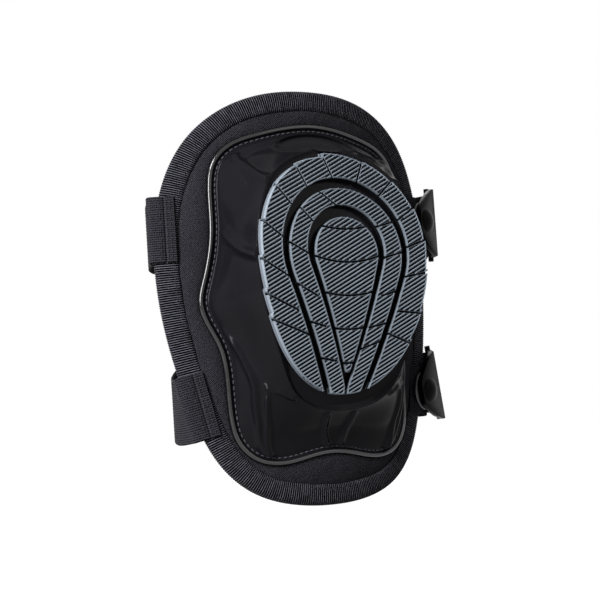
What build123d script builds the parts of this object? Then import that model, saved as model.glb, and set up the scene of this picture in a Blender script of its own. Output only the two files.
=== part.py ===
from build123d import *
import math
import os

# Strapped knee pad: one pad of a pair, in the pose it is worn in.
# Millimetres. +Z up the leg, -Y is the kneeling face, +X to a viewer's right.
# The origin is the centre of the knee seat, on the back of the gel cushion.

os.makedirs("parts", exist_ok=True)

# ---------------------------------------------------------------- pad body
BEND_RADIUS = 175.0        # the pad is rolled round the leg about an upright axis
PAD_HALF_WIDTH = 91.0
PAD_TOP = 125.0
PAD_BOTTOM = 117.5
FOAM_THICKNESS = 6.5
CLOTH_THICKNESS = 1.0
LAYER_GAP = 0.2            # between two curved layers that lie on each other
BINDING_WIDTH = 12.0
BINDING_THICKNESS = 1.1
BINDING_WALL = 1.4         # tape round the cut edge

CUSHION_HALF_WIDTH = 52.0
CUSHION_HALF_HEIGHT = 72.0
CUSHION_THICKNESS = 9.0
CHANNEL_WIDTH = 7.0        # air channels across the cushion
CHANNEL_DEPTH = 3.0
CHANNEL_PITCH = 34.0

# ------------------------------------------------------------ moulded cap
CAP_FLANGE = 2.0
CAP_WALL = 2.6
RIM_BEAD_WIDTH = 3.4
RIM_BEAD_HEIGHT = 1.5
STITCH_GROOVE = 2.4
RIB_HEIGHT = 0.9
RIB_WIDTH = 2.6

# ------------------------------------------------------------------ tread
CROWN_RADIUS = 233.0       # the kneeling face is rolled about a level axis
CROWN_LEVEL = 18.5         # height of its foremost line
CROWN_REACH = 35.8         # foremost line, in front of the middle of the pad edge
TREAD_THICKNESS = 3.4
TREAD_HALF_WIDTH = 55.2
TREAD_CENTRE = 26.5
TREAD_TOP = 56.0           # above the tread centre
TREAD_BOTTOM = 81.5        # below it
GROOVE_OUTER = 4.6
RING_WIDTH_MIDDLE = 11.6
GROOVE_INNER = 4.9
LEG_SLOPE = 21.0           # the ring legs close downwards, degrees from upright
CORE_SLOPE = 17.0
CORE_TIP_RADIUS = 2.0
TREAD_LEDGE = 0.8          # cap showing round the foot of the tread
SIPE_WIDTH = 0.9
SIPE_DEPTH = 1.8
SIPE_RADIUS = 68.0
SIPE_PITCH = 19.0
SIPE_FIRST = -37.5
SIPE_COUNT = 6

# ---------------------------------------------------- straps and hardware
STRAP_WIDTH = 38.0
STRAP_THICKNESS = 1.8
STRAP_SEWN_LENGTH = 12.5   # turned over the front of the binding
UPPER_LEFT_LEVEL = 44.5
UPPER_RIGHT_LEVEL = 52.0
LOWER_LEFT_LEVEL = -58.0
LOWER_RIGHT_LEVEL = -55.0
LOWER_STRAP_TILT = 13.0    # both ends of the lower strap lean, and it arches between

TAB_WIDTH = 30.0
TAB_THICKNESS = 1.4
TAB_BACK_LEG = 14.0
TAB_MARGIN = 5.0           # webbing beyond the washer, towards the cap
LOWER_TAB_TILT = -9.0      # sewn square to the edge
WASHER_RADIUS = 6.6
WASHER_THICKNESS = 1.0
STUD_BASE_RADIUS = 12.0
STUD_BASE_THICKNESS = 1.6
STUD_NECK_RADIUS = 3.2
STUD_BALL_RADIUS = 4.4
STUD_SHANK_RADIUS = 2.6
SNAP_CLEARANCE = 0.25
UPPER_STUD_INSET = 4.0     # stud axis, inside the pad edge
LOWER_STUD_INSET = 4.0
UPPER_TAB_REACH = 4.0      # tab fold, outside the pad edge
LOWER_TAB_REACH = 1.0

CLIP_THICKNESS = 2.8
CLIP_HALF_LENGTH = 17.0
CLIP_DOME_RADIUS = 7.0
CLIP_DOME_HEIGHT = 3.4
CLIP_BEND_AT = 12.6        # from the stud axis
CLIP_BEND = 38.0           # degrees, towards the leg
CLIP_LEG = 12.5
CLIP_BAR_RADIUS = 1.7
CLIP_BAR_PROUD = 0.4       # bar beyond the end of the arms
CLIP_SLOT = 5.2
CLIP_NUB = 2.2

RUN_GAP = 3.9              # between the two runs of strap in the slide
SLIDE_LENGTH = 13.0
SLIDE_WALL = 1.6
SLIDE_FROM_BAR = 27.0
TAIL_LENGTH = 52.0
LOOP_DEPTH = 94.0          # back of the strap loop, behind the knee seat
LEAVE_SWING = -14.0        # turn of the strap past the left edge, away from the leg
STRAP_LEAD = 80.0          # turn of the webbing at the clip bar, towards the leg
LOWER_STRAP_RISE = 15.0

# ------------------------------------------------------ layer build-up
FOAM_BACK = -FOAM_THICKNESS / 2 - LAYER_GAP
FOAM_FRONT = FOAM_THICKNESS / 2
LINING_FRONT = FOAM_BACK - LAYER_GAP
LINING_BACK = LINING_FRONT - CLOTH_THICKNESS
FABRIC_BACK = FOAM_FRONT + LAYER_GAP
FABRIC_FRONT = FABRIC_BACK + CLOTH_THICKNESS
BINDING_FRONT = FABRIC_FRONT + LAYER_GAP + BINDING_THICKNESS
BINDING_BACK = LINING_BACK - LAYER_GAP - BINDING_THICKNESS
CUSHION_FRONT = LINING_BACK - LAYER_GAP
CUSHION_BACK = CUSHION_FRONT - CUSHION_THICKNESS
CAP_BACK = FABRIC_FRONT + LAYER_GAP
CAP_FACE = CAP_BACK + CAP_FLANGE
RIM_TOP = CAP_FACE + RIM_BEAD_HEIGHT
AXIS_Y = BEND_RADIUS + CUSHION_BACK   # axis of the bend, behind the knee seat
FAN_NEAR = BEND_RADIUS * 0.68         # planes between which edges are spread
FAN_FAR = BEND_RADIUS * 1.3


def roll_point(x, offset=0.0):
    """Plan position of the point of a layer that lies x to the side."""
    radius = BEND_RADIUS + offset
    angle = math.asin(x / BEND_RADIUS)
    return radius * math.sin(angle), AXIS_Y - radius * math.cos(angle)


def reach_y(reach):
    """World Y of a level measured forwards from the middle of the pad edge."""
    return AXIS_Y - BEND_RADIUS - reach


# ------------------------------------------------------------- outlines
def smooth(points, count=160):
    """Points along a closed smooth curve through the given points."""
    edge = Edge.make_spline([Vector(x, z) for x, z in points], periodic=True)
    dense = []
    for i in range(count):
        p = edge @ (i / count)
        dense.append((p.X, p.Y))
    return dense


def mirrored(half):
    """A half outline from top to bottom, closed by its mirror image."""
    back = [(-x, z) for x, z in reversed(half) if abs(x) > 1e-6]
    return list(half) + back


def grown(points, amount):
    """Closed dense outline moved outwards by an amount."""
    out = []
    n = len(points)
    for i in range(n):
        ax, az = points[i - 1]
        bx, bz = points[(i + 1) % n]
        length = math.hypot(bx - ax, bz - az)
        nx, nz = -(bz - az) / length, (bx - ax) / length
        out.append((points[i][0] + nx * amount, points[i][1] + nz * amount))
    return out


def spline_face(points, step=5):
    """Upright face (front view) inside a closed outline."""
    chosen = [Vector(x, z) for x, z in points[::step]]
    edge = Edge.make_spline(chosen, periodic=True)
    return Plane.XZ * Face(Wire([edge]))


def prism(face, depth=110.0):
    return extrude(face, amount=depth, both=True)


def fanned(points, step=5):
    """Solid inside a closed outline, its edge square to the rolled sheets."""
    sections = []
    for distance in (FAN_NEAR, FAN_FAR):
        chosen = []
        for x, z in points[::step]:
            chosen.append(Vector(distance * x / math.sqrt(BEND_RADIUS ** 2 - x ** 2), z))
        edge = Edge.make_spline(chosen, periodic=True)
        upright = Plane(origin=(0, AXIS_Y - distance, 0), x_dir=(1, 0, 0), z_dir=(0, -1, 0))
        sections.append(upright * Face(Wire([edge])))
    return loft(sections, ruled=True)


def layer(back, front):
    """Sheet rolled round the leg between two offsets."""
    height = PAD_TOP + PAD_BOTTOM + 60
    outer = Cylinder(BEND_RADIUS + front, height)
    inner = Cylinder(BEND_RADIUS + back, height + 10)
    middle = (PAD_TOP - PAD_BOTTOM) / 2
    return Pos(0, AXIS_Y, middle) * (outer - inner)


def crowned(front, depth):
    """Sheet parallel to the kneeling face, between two reaches."""
    centre_y = reach_y(CROWN_REACH - CROWN_RADIUS)
    outer = Cylinder(CROWN_RADIUS + front, 260)
    inner = Cylinder(CROWN_RADIUS + front - depth, 270)
    return Pos(0, centre_y, CROWN_LEVEL) * Rot(0, 90, 0) * (outer - inner)


pad_half = [
    (0, PAD_TOP),
    (PAD_HALF_WIDTH * 0.28, PAD_TOP * 0.984),
    (PAD_HALF_WIDTH * 0.55, PAD_TOP * 0.919),
    (PAD_HALF_WIDTH * 0.78, PAD_TOP * 0.787),
    (PAD_HALF_WIDTH * 0.935, PAD_TOP * 0.574),
    (PAD_HALF_WIDTH, PAD_TOP * 0.28),
    (PAD_HALF_WIDTH * 0.983, -PAD_BOTTOM * 0.02),
    (PAD_HALF_WIDTH * 0.91, -PAD_BOTTOM * 0.337),
    (PAD_HALF_WIDTH * 0.81, -PAD_BOTTOM * 0.60),
    (PAD_HALF_WIDTH * 0.685, -PAD_BOTTOM * 0.791),
    (PAD_HALF_WIDTH * 0.51, -PAD_BOTTOM * 0.914),
    (PAD_HALF_WIDTH * 0.28, -PAD_BOTTOM * 0.980),
    (0, -PAD_BOTTOM),
]
pad_outline = smooth(mirrored(pad_half))

# the cap has a waist each side, an ear below it and a raised middle at the foot
cap_half = [
    (0, 105.0),
    (18, 103.2),
    (35, 99.2),
    (50.5, 93.2),
    (60, 83),
    (63.2, 68),
    (63.6, 42),
    (68.5, 15),
    (71.0, 2),
    (68.0, -11),
    (62.5, -24),
    (59.8, -42),
    (59.0, -64),
    (55.5, -79),
    (46, -89.5),
    (30, -93.0),
    (12, -89.8),
    (0, -88.5),
]
cap_outline = smooth(mirrored(cap_half), 240)


def half_width_at(outline, level):
    """Half width of an outline at a height."""
    best = 0.0
    n = len(outline)
    for i in range(n):
        (ax, az), (bx, bz) = outline[i - 1], outline[i]
        if (az - level) * (bz - level) <= 0 and az != bz:
            x = ax + (bx - ax) * (level - az) / (bz - az)
            best = max(best, x)
    return best


def tread_point(angle, grow=0.0):
    """Outer edge of the tread: an egg of two half ellipses."""
    up = TREAD_TOP if math.cos(angle) > 0 else TREAD_BOTTOM
    x = (TREAD_HALF_WIDTH + grow) * math.sin(angle)
    return x, TREAD_CENTRE + (up + grow) * math.cos(angle)


tread_outline = [tread_point(2 * math.pi * i / 160) for i in range(160)]


def teardrop(radius, centre, slope, tip_radius, tip_level):
    """Round top with two straight sides closing to a rounded tip."""
    s, c = math.sin(math.radians(slope)), math.cos(math.radians(slope))
    right = Vector(radius * c, centre - radius * s)
    left = Vector(-radius * c, centre - radius * s)
    foot_right = Vector(tip_radius * c, tip_level + tip_radius - tip_radius * s)
    foot_left = Vector(-tip_radius * c, tip_level + tip_radius - tip_radius * s)
    top = ThreePointArc(right, Vector(0, centre + radius), left)
    tip = ThreePointArc(foot_left, Vector(0, tip_level), foot_right)
    outline = Wire([top.edge(), Line(left, foot_left).edge(),
                    tip.edge(), Line(foot_right, right).edge()])
    return Plane.XZ * Face(outline)


def closing_level(radius, centre, slope, tip_radius):
    """Tip level at which straight sides of the given slope meet the tip."""
    drop = (radius - tip_radius) / math.sin(math.radians(slope))
    return centre - drop - tip_radius


# ------------------------------------------------------------- soft body
BODY_INSET = BINDING_WALL + LAYER_GAP
body_block = fanned(grown(pad_outline, -BODY_INSET))

back_lining = body_block & layer(LINING_BACK, LINING_FRONT)
foam_core = body_block & layer(FOAM_BACK, FOAM_FRONT)
front_fabric = body_block & layer(FABRIC_BACK, FABRIC_FRONT)

edge_block = fanned(pad_outline) & layer(BINDING_BACK, BINDING_FRONT)
channel_cut = (fanned(grown(pad_outline, -BINDING_WALL))
               & layer(LINING_BACK - LAYER_GAP, FABRIC_FRONT + LAYER_GAP))
window_cut = fanned(grown(pad_outline, -BINDING_WIDTH))
edge_binding = edge_block - channel_cut - window_cut

cushion_face = Plane.XZ * make_face(Ellipse(CUSHION_HALF_WIDTH, CUSHION_HALF_HEIGHT).edges())
gel_cushion = prism(cushion_face) & layer(CUSHION_BACK, CUSHION_FRONT)
for step in (-1, 0, 1):
    bar = Box(2 * PAD_HALF_WIDTH, 60, CHANNEL_WIDTH)
    groove = (Pos(0, 0, step * CHANNEL_PITCH) * bar) & layer(CUSHION_BACK - 1, CUSHION_BACK + CHANNEL_DEPTH)
    gel_cushion = gel_cushion - groove

# ----------------------------------------------------------- moulded cap
DOME_STEPS = ((-16, 0.0), (4, 0.2), (20, 0.7), (37, 1.0))
DOME_CENTRE = 18.0
# stiffening ribs: reach and height on the sides, sideways place and height at the foot
side_ribs = (((0, 86), (7, 80), (21, 69)), ((-2, 45.6), (9, 35.3), (22, 25.5)))
foot_ribs = (((62, -12), (54.4, -27), (49, -44.7), (46, -64), (42, -82)), ((6.7, -62), (3.8, -80)))
DOME_SIDES = 24
FOOT_INSET = RIM_BEAD_WIDTH + STITCH_GROOVE


def polar(points, angle):
    """Point of a closed outline in a direction from the dome centre."""
    n = len(points)
    for i in range(n):
        (ax, az), (bx, bz) = points[i - 1], points[i]
        a = math.atan2(ax, az - DOME_CENTRE)
        b = math.atan2(bx, bz - DOME_CENTRE)
        span = (b - a + math.pi) % (2 * math.pi) - math.pi
        part = (angle - a + math.pi) % (2 * math.pi) - math.pi
        if span != 0 and 0 <= part / span <= 1:
            t = part / span
            return ax + (bx - ax) * t, az + (bz - az) * t
    return points[0]


foot_outline = grown(cap_outline, -FOOT_INSET)
top_outline = [tread_point(2 * math.pi * i / 160, TREAD_LEDGE) for i in range(160)]


def dome(grow, lift=None):
    """Solid form of the cap's dome, bigger all round by an amount."""
    foot = grown(foot_outline, grow)
    top = grown(top_outline, grow)
    sections = []
    for reach, blend in DOME_STEPS:
        ring = []
        for i in range(DOME_SIDES):
            angle = 2 * math.pi * i / DOME_SIDES
            fx, fz = polar(foot, angle)
            tx, tz = polar(top, angle)
            ring.append(Vector(fx + (tx - fx) * blend, reach_y(reach + grow * 0.6),
                               fz + (tz - fz) * blend))
        sections.append(Face(Wire([Edge.make_spline(ring, periodic=True)])))
    form = Solid.make_loft([s.outer_wire() for s in sections])
    face_inset = TREAD_THICKNESS + LAYER_GAP / 2 - (grow if lift is None else lift)
    keep = Cylinder(CROWN_RADIUS - face_inset, 260)
    centre_y = reach_y(CROWN_REACH - CROWN_RADIUS)
    return form & (Pos(0, centre_y, CROWN_LEVEL) * Rot(0, 90, 0) * keep)


outer_dome = dome(0.0)
inner_dome = dome(-CAP_WALL)
ahead_of_fabric = layer(CAP_BACK, CAP_BACK + 90)

cap_plate = fanned(cap_outline, 8) & layer(CAP_BACK, RIM_TOP)
inside_bead = fanned(grown(cap_outline, -RIM_BEAD_WIDTH), 8) & layer(CAP_FACE, RIM_TOP + 5)
cap_plate = cap_plate - inside_bead


def rib_bars(route, side, across):
    """Bars along a route; seen from the side, or from the front where across is set."""
    bars = None
    for (a, az), (b, bz) in zip(route, route[1:]):
        length = math.hypot(b - a, bz - az) + RIB_WIDTH
        level = (az + bz) / 2
        if across:
            lean = math.degrees(math.atan2(bz - az, b - a))
            bar = Pos(side * (a + b) / 2, reach_y(20), level) * Rot(0, -side * lean, 0) * Box(
                length, 80, RIB_WIDTH)
        else:
            lean = math.degrees(math.atan2(bz - az, b - a))
            bar = Pos(side * 55, reach_y((a + b) / 2), level) * Rot(-lean, 0, 0) * Box(
                40, length, RIB_WIDTH)
        bars = bar if bars is None else bars + bar
    return bars


rib_tool = None
for side in (1, -1):
    for route in side_ribs:
        bars = rib_bars(route, side, False)
        rib_tool = bars if rib_tool is None else rib_tool + bars
    for route in foot_ribs:
        rib_tool = rib_tool + rib_bars(route, side, True)
ribbed_dome = outer_dome + (rib_tool & dome(RIB_HEIGHT, 0.0))
dome_wall = (ribbed_dome - inner_dome) & ahead_of_fabric
cap_shell = (cap_plate - inner_dome) + dome_wall

impact_foam = dome(-CAP_WALL - 2 * LAYER_GAP) & layer(CAP_BACK, CAP_BACK + 90)

# ----------------------------------------------------------------- tread
tread_sheet = crowned(0.0, TREAD_THICKNESS)
tread_block = prism(spline_face(tread_outline))
outer_inner_radius = TREAD_HALF_WIDTH - 13.0
middle_radius = outer_inner_radius - GROOVE_OUTER
hole_radius = middle_radius - RING_WIDTH_MIDDLE
core_radius = hole_radius - GROOVE_INNER

outer_hole = teardrop(outer_inner_radius, TREAD_CENTRE, LEG_SLOPE, 12.0,
                      closing_level(outer_inner_radius, TREAD_CENTRE, LEG_SLOPE, 12.0))
middle_form = teardrop(middle_radius, TREAD_CENTRE - 1.5, LEG_SLOPE, 6.0,
                       closing_level(middle_radius, TREAD_CENTRE - 1.5, LEG_SLOPE, 6.0))
middle_hole = teardrop(hole_radius, TREAD_CENTRE, CORE_SLOPE + 2, 0.9,
                       closing_level(hole_radius, TREAD_CENTRE, CORE_SLOPE + 2, 0.9))
core_form = teardrop(core_radius, TREAD_CENTRE - 2.0, CORE_SLOPE, CORE_TIP_RADIUS,
                     closing_level(core_radius, TREAD_CENTRE - 2.0, CORE_SLOPE, CORE_TIP_RADIUS))

sipe_skin = crowned(1.0, SIPE_DEPTH + 1.0)
sipes = None
for k in range(SIPE_COUNT):
    centre = SIPE_FIRST + k * SIPE_PITCH + SIPE_RADIUS
    ring = Circle(SIPE_RADIUS + SIPE_WIDTH / 2) - Circle(SIPE_RADIUS - SIPE_WIDTH / 2)
    cutter = prism(Plane.XZ * Pos(0, centre) * ring) & sipe_skin
    sipes = cutter if sipes is None else sipes + cutter

slit = Pos(0, 0, TREAD_CENTRE - 75) * Box(1.8, 120, 60)
tread_outer = (tread_block & tread_sheet) - prism(outer_hole) - sipes
tread_middle = (prism(middle_form) & tread_block & tread_sheet) - prism(middle_hole) - slit - sipes
tread_core = (prism(core_form) & tread_sheet) - sipes


# ------------------------------------------------------ webbing and tabs
def ribbon_profile(points, thickness):
    """Closed polygon of a strip that follows a route, in its own plane."""
    left, right = [], []
    n = len(points)
    for i in range(n):
        ax, ay = points[max(i - 1, 0)]
        bx, by = points[min(i + 1, n - 1)]
        length = math.hypot(bx - ax, by - ay)
        nx, ny = -(by - ay) / length, (bx - ax) / length
        x, y = points[i]
        left.append((x + nx * thickness / 2, y + ny * thickness / 2))
        right.append((x - nx * thickness / 2, y - ny * thickness / 2))
    return left + right[::-1]


class Edge_place:
    """Frame at the pad edge: u outwards along the pad, v out of its face, w up."""

    def __init__(self, side, level, tilt=0.0):
        self.side = side
        self.level = level
        self.x = half_width_at(pad_outline, level)
        self.angle = math.asin(self.x / BEND_RADIUS)
        self.tilt = math.radians(tilt)
        a = self.angle
        self.u = Vector(side * math.cos(a), math.sin(a), 0)
        self.v = Vector(side * math.sin(a), -math.cos(a), 0)
        ox, oy = roll_point(self.x)
        self.origin = Vector(side * ox, oy, level)
        up = Vector(0, 0, 1)
        if tilt:
            flat = self.u
            self.u = flat * math.cos(self.tilt) + up * math.sin(self.tilt)
            up = up * math.cos(self.tilt) - flat * math.sin(self.tilt)
        self.w = up

    def at(self, u, v, w=0.0):
        return self.origin + self.u * u + self.v * v + self.w * w

    def bulge(self, half_width):
        """How far the pad edge stands out under a strip of webbing."""
        most = 0.0
        for x, z in pad_outline:
            if x * self.side < self.x * 0.5:
                continue
            px, py = roll_point(abs(x))
            away = Vector(self.side * px, py, z) - self.origin
            if abs(away.dot(self.w)) < half_width + 2:
                most = max(most, away.dot(self.u))
        return most

    def plane(self, w=0.0):
        """Sketch plane whose axes are u and v."""
        normal = self.u.cross(self.v)
        return Plane(origin=self.at(0, 0, w), x_dir=self.u, z_dir=normal)

    def stud_plane(self, u, v):
        """Plane square to the stud axis."""
        return Plane(origin=self.at(u, v), x_dir=self.u, z_dir=self.v)


upper_edge = Edge_place(1, UPPER_RIGHT_LEVEL)
lower_edge = Edge_place(1, LOWER_RIGHT_LEVEL, LOWER_TAB_TILT)

WASHER_BACK = BINDING_FRONT + LAYER_GAP
TAB_BACK = WASHER_BACK + WASHER_THICKNESS + LAYER_GAP
TAB_MID = TAB_BACK + TAB_THICKNESS / 2
TAB_FACE = TAB_BACK + TAB_THICKNESS
STUD_SEAT = TAB_FACE + 0.1
CLIP_BACK = STUD_SEAT + STUD_BASE_THICKNESS + 0.3
CLIP_MID = CLIP_BACK + CLIP_THICKNESS / 2
CLIP_FACE = CLIP_BACK + CLIP_THICKNESS


def make_tab(place, stud_inset, reach):
    """Webbing folded round the pad edge, open at its inner ends."""
    front_leg = stud_inset + WASHER_RADIUS + TAB_MARGIN
    sag_front = front_leg ** 2 / (2 * BEND_RADIUS)
    sag_back = TAB_BACK_LEG ** 2 / (2 * BEND_RADIUS)
    back = BINDING_BACK - LAYER_GAP - TAB_THICKNESS / 2
    near_binding = BINDING_FRONT + LAYER_GAP + TAB_THICKNESS / 2
    fold = place.bulge(TAB_WIDTH / 2) + LAYER_GAP + reach - TAB_THICKNESS / 2
    bulge = (TAB_MID + back) / 2
    half = (TAB_MID - back) / 2
    route = [(-front_leg, near_binding - sag_front * 0.8),
             (-stud_inset - WASHER_RADIUS - 1.6, TAB_MID), (fold, TAB_MID)]
    for i in range(1, 8):
        turn = math.pi * i / 8
        route.append((fold + 1.6 * math.sin(turn), bulge + half * math.cos(turn)))
    route += [(fold, back), (-TAB_BACK_LEG / 2, back - sag_back * 0.4), (-TAB_BACK_LEG, back - sag_back)]
    profile = make_face(Polyline(*ribbon_profile(route, TAB_THICKNESS), close=True))
    solid = extrude(place.plane() * profile, amount=TAB_WIDTH / 2, both=True)
    hole = place.stud_plane(-stud_inset, TAB_BACK - 0.4) * Cylinder(
        STUD_SHANK_RADIUS + 0.2, TAB_THICKNESS + 0.8, align=(Align.CENTER, Align.CENTER, Align.MIN))
    return solid - hole


def make_washer(place, stud_inset):
    disc = Cylinder(WASHER_RADIUS, WASHER_THICKNESS, align=(Align.CENTER, Align.CENTER, Align.MIN))
    bore = Cylinder(STUD_SHANK_RADIUS + 0.05, 3)
    return place.stud_plane(-stud_inset, WASHER_BACK) * (disc - bore)


def make_stud(place, stud_inset):
    """Snap stud: shank through the tab, dished base, neck and ball."""
    foot = WASHER_BACK - STUD_SEAT
    neck = CLIP_BACK - STUD_SEAT + 1.2
    ball = neck + STUD_BALL_RADIUS * 0.75
    top = CLIP_FACE - STUD_SEAT + 0.8
    profile = [
        (0, foot), (STUD_SHANK_RADIUS, foot), (STUD_SHANK_RADIUS, 0),
        (STUD_BASE_RADIUS - 0.5, 0), (STUD_BASE_RADIUS, 0.5),
        (STUD_BASE_RADIUS - 0.5, STUD_BASE_THICKNESS),
        (STUD_NECK_RADIUS, STUD_BASE_THICKNESS), (STUD_NECK_RADIUS, neck),
        (STUD_BALL_RADIUS, neck + 0.9), (STUD_BALL_RADIUS, top - 1.3),
        (STUD_NECK_RADIUS, top), (0, top),
    ]
    face = make_face(Plane.XZ * Polyline(*profile, close=True))
    return place.stud_plane(-stud_inset, STUD_SEAT) * revolve(face, Axis.Z)


def make_clip(place, stud_inset, swivel):
    """Clip plate: snaps on the stud, bends to the leg and carries the strap bar."""
    square = place.stud_plane(-stud_inset, CLIP_BACK)
    way = square.x_dir * math.cos(swivel) + square.y_dir * math.sin(swivel)
    plane = Plane(origin=square.origin, x_dir=way, z_dir=square.z_dir)
    s, c = math.sin(math.radians(CLIP_BEND)), math.cos(math.radians(CLIP_BEND))
    t = CLIP_THICKNESS
    lip = t * math.tan(math.radians(CLIP_BEND) / 2)
    heel = -CLIP_DOME_RADIUS - 2.2
    end = (CLIP_BEND_AT + CLIP_LEG * c, -CLIP_LEG * s)
    side_view = make_face(Polyline(
        (heel, 0), (CLIP_BEND_AT, 0), end, (end[0] + t * s, end[1] + t * c),
        (CLIP_BEND_AT + lip, t), (heel, t), close=True))
    body = extrude(Plane.XZ * side_view, amount=CLIP_HALF_LENGTH + CLIP_NUB + 2.3, both=True)
    slot_half = STRAP_WIDTH / 2 + 0.3
    wide = slot_half + 2.0
    far = CLIP_BEND_AT + CLIP_LEG
    plan = make_face(Polyline(
        (heel, -7), (heel + 4, -11), (3, -CLIP_HALF_LENGTH), (CLIP_BEND_AT - 1, -wide),
        (far, -wide), (far, wide), (CLIP_BEND_AT - 1, wide), (3, CLIP_HALF_LENGTH),
        (heel + 4, 11), (heel, 7), close=True))
    body = body & extrude(plan, amount=40, both=True)
    slot_from = CLIP_BEND_AT + (CLIP_LEG - 2 * CLIP_BAR_RADIUS - CLIP_SLOT) * c
    body = body - Pos(slot_from, 0, 0) * Box(
        60, 2 * slot_half, 60, align=(Align.MIN, Align.CENTER, Align.CENTER))
    bar_at = CLIP_LEG - CLIP_BAR_RADIUS + CLIP_BAR_PROUD
    bar_x = CLIP_BEND_AT + bar_at * c + t / 2 * s
    bar_z = -bar_at * s + t / 2 * c
    body = body + Pos(bar_x, 0, bar_z) * Rot(90, 0, 0) * Cylinder(CLIP_BAR_RADIUS, 2 * (wide + CLIP_NUB))
    rise = CLIP_DOME_HEIGHT - 1.2
    crown = (CLIP_DOME_RADIUS ** 2 + rise ** 2) / (2 * rise)
    skirt = Cone(CLIP_DOME_RADIUS + 0.8, CLIP_DOME_RADIUS - 1.2, 4.6,
                 align=(Align.CENTER, Align.CENTER, Align.MIN))
    cover = Pos(0, 0, t - 0.6) * skirt & Pos(0, 0, t + CLIP_DOME_HEIGHT - crown) * Rot(0, 90, 0) * Sphere(crown)
    body = body + cover
    socket_top = t + 0.8 + SNAP_CLEARANCE
    bore = STUD_BALL_RADIUS + SNAP_CLEARANCE
    socket = Cylinder(bore, socket_top, align=(Align.CENTER, Align.CENTER, Align.MIN))
    body = body - socket
    bar = (bar_x, bar_z)
    return plane * body, plane, bar


upper_tab = make_tab(upper_edge, UPPER_STUD_INSET, UPPER_TAB_REACH)
lower_tab = make_tab(lower_edge, LOWER_STUD_INSET, LOWER_TAB_REACH)
upper_washer = make_washer(upper_edge, UPPER_STUD_INSET)
lower_washer = make_washer(lower_edge, LOWER_STUD_INSET)
upper_stud = make_stud(upper_edge, UPPER_STUD_INSET)
lower_stud = make_stud(lower_edge, LOWER_STUD_INSET)
upper_clip, upper_plane, clip_bar = make_clip(upper_edge, UPPER_STUD_INSET, 0.0)
lower_swivel = math.radians(LOWER_STRAP_TILT - LOWER_TAB_TILT)
lower_clip, lower_plane, clip_bar = make_clip(lower_edge, LOWER_STUD_INSET, lower_swivel)


def strap_solid(stations, width, thickness):
    """Webbing through stations of (centre, direction, face normal)."""
    sections = []
    for centre, along, face in stations:
        along = along.normalized()
        across = along.cross(face).normalized()
        face = across.cross(along).normalized()
        corners = []
        for i, j in ((-1, -1), (1, -1), (1, 1), (-1, 1)):
            corners.append(centre + across * (i * width / 2) + face * (j * thickness / 2))
        sections.append(Wire.make_polygon(corners, close=True))
    return Solid.make_loft(sections, True)


def smooth_route(points, start, end, count):
    """Stations along a curve with given end directions."""
    edge = Edge.make_spline(points, tangents=[start, end])
    return [(edge @ (i / count), edge % (i / count)) for i in range(1, count)]


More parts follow.
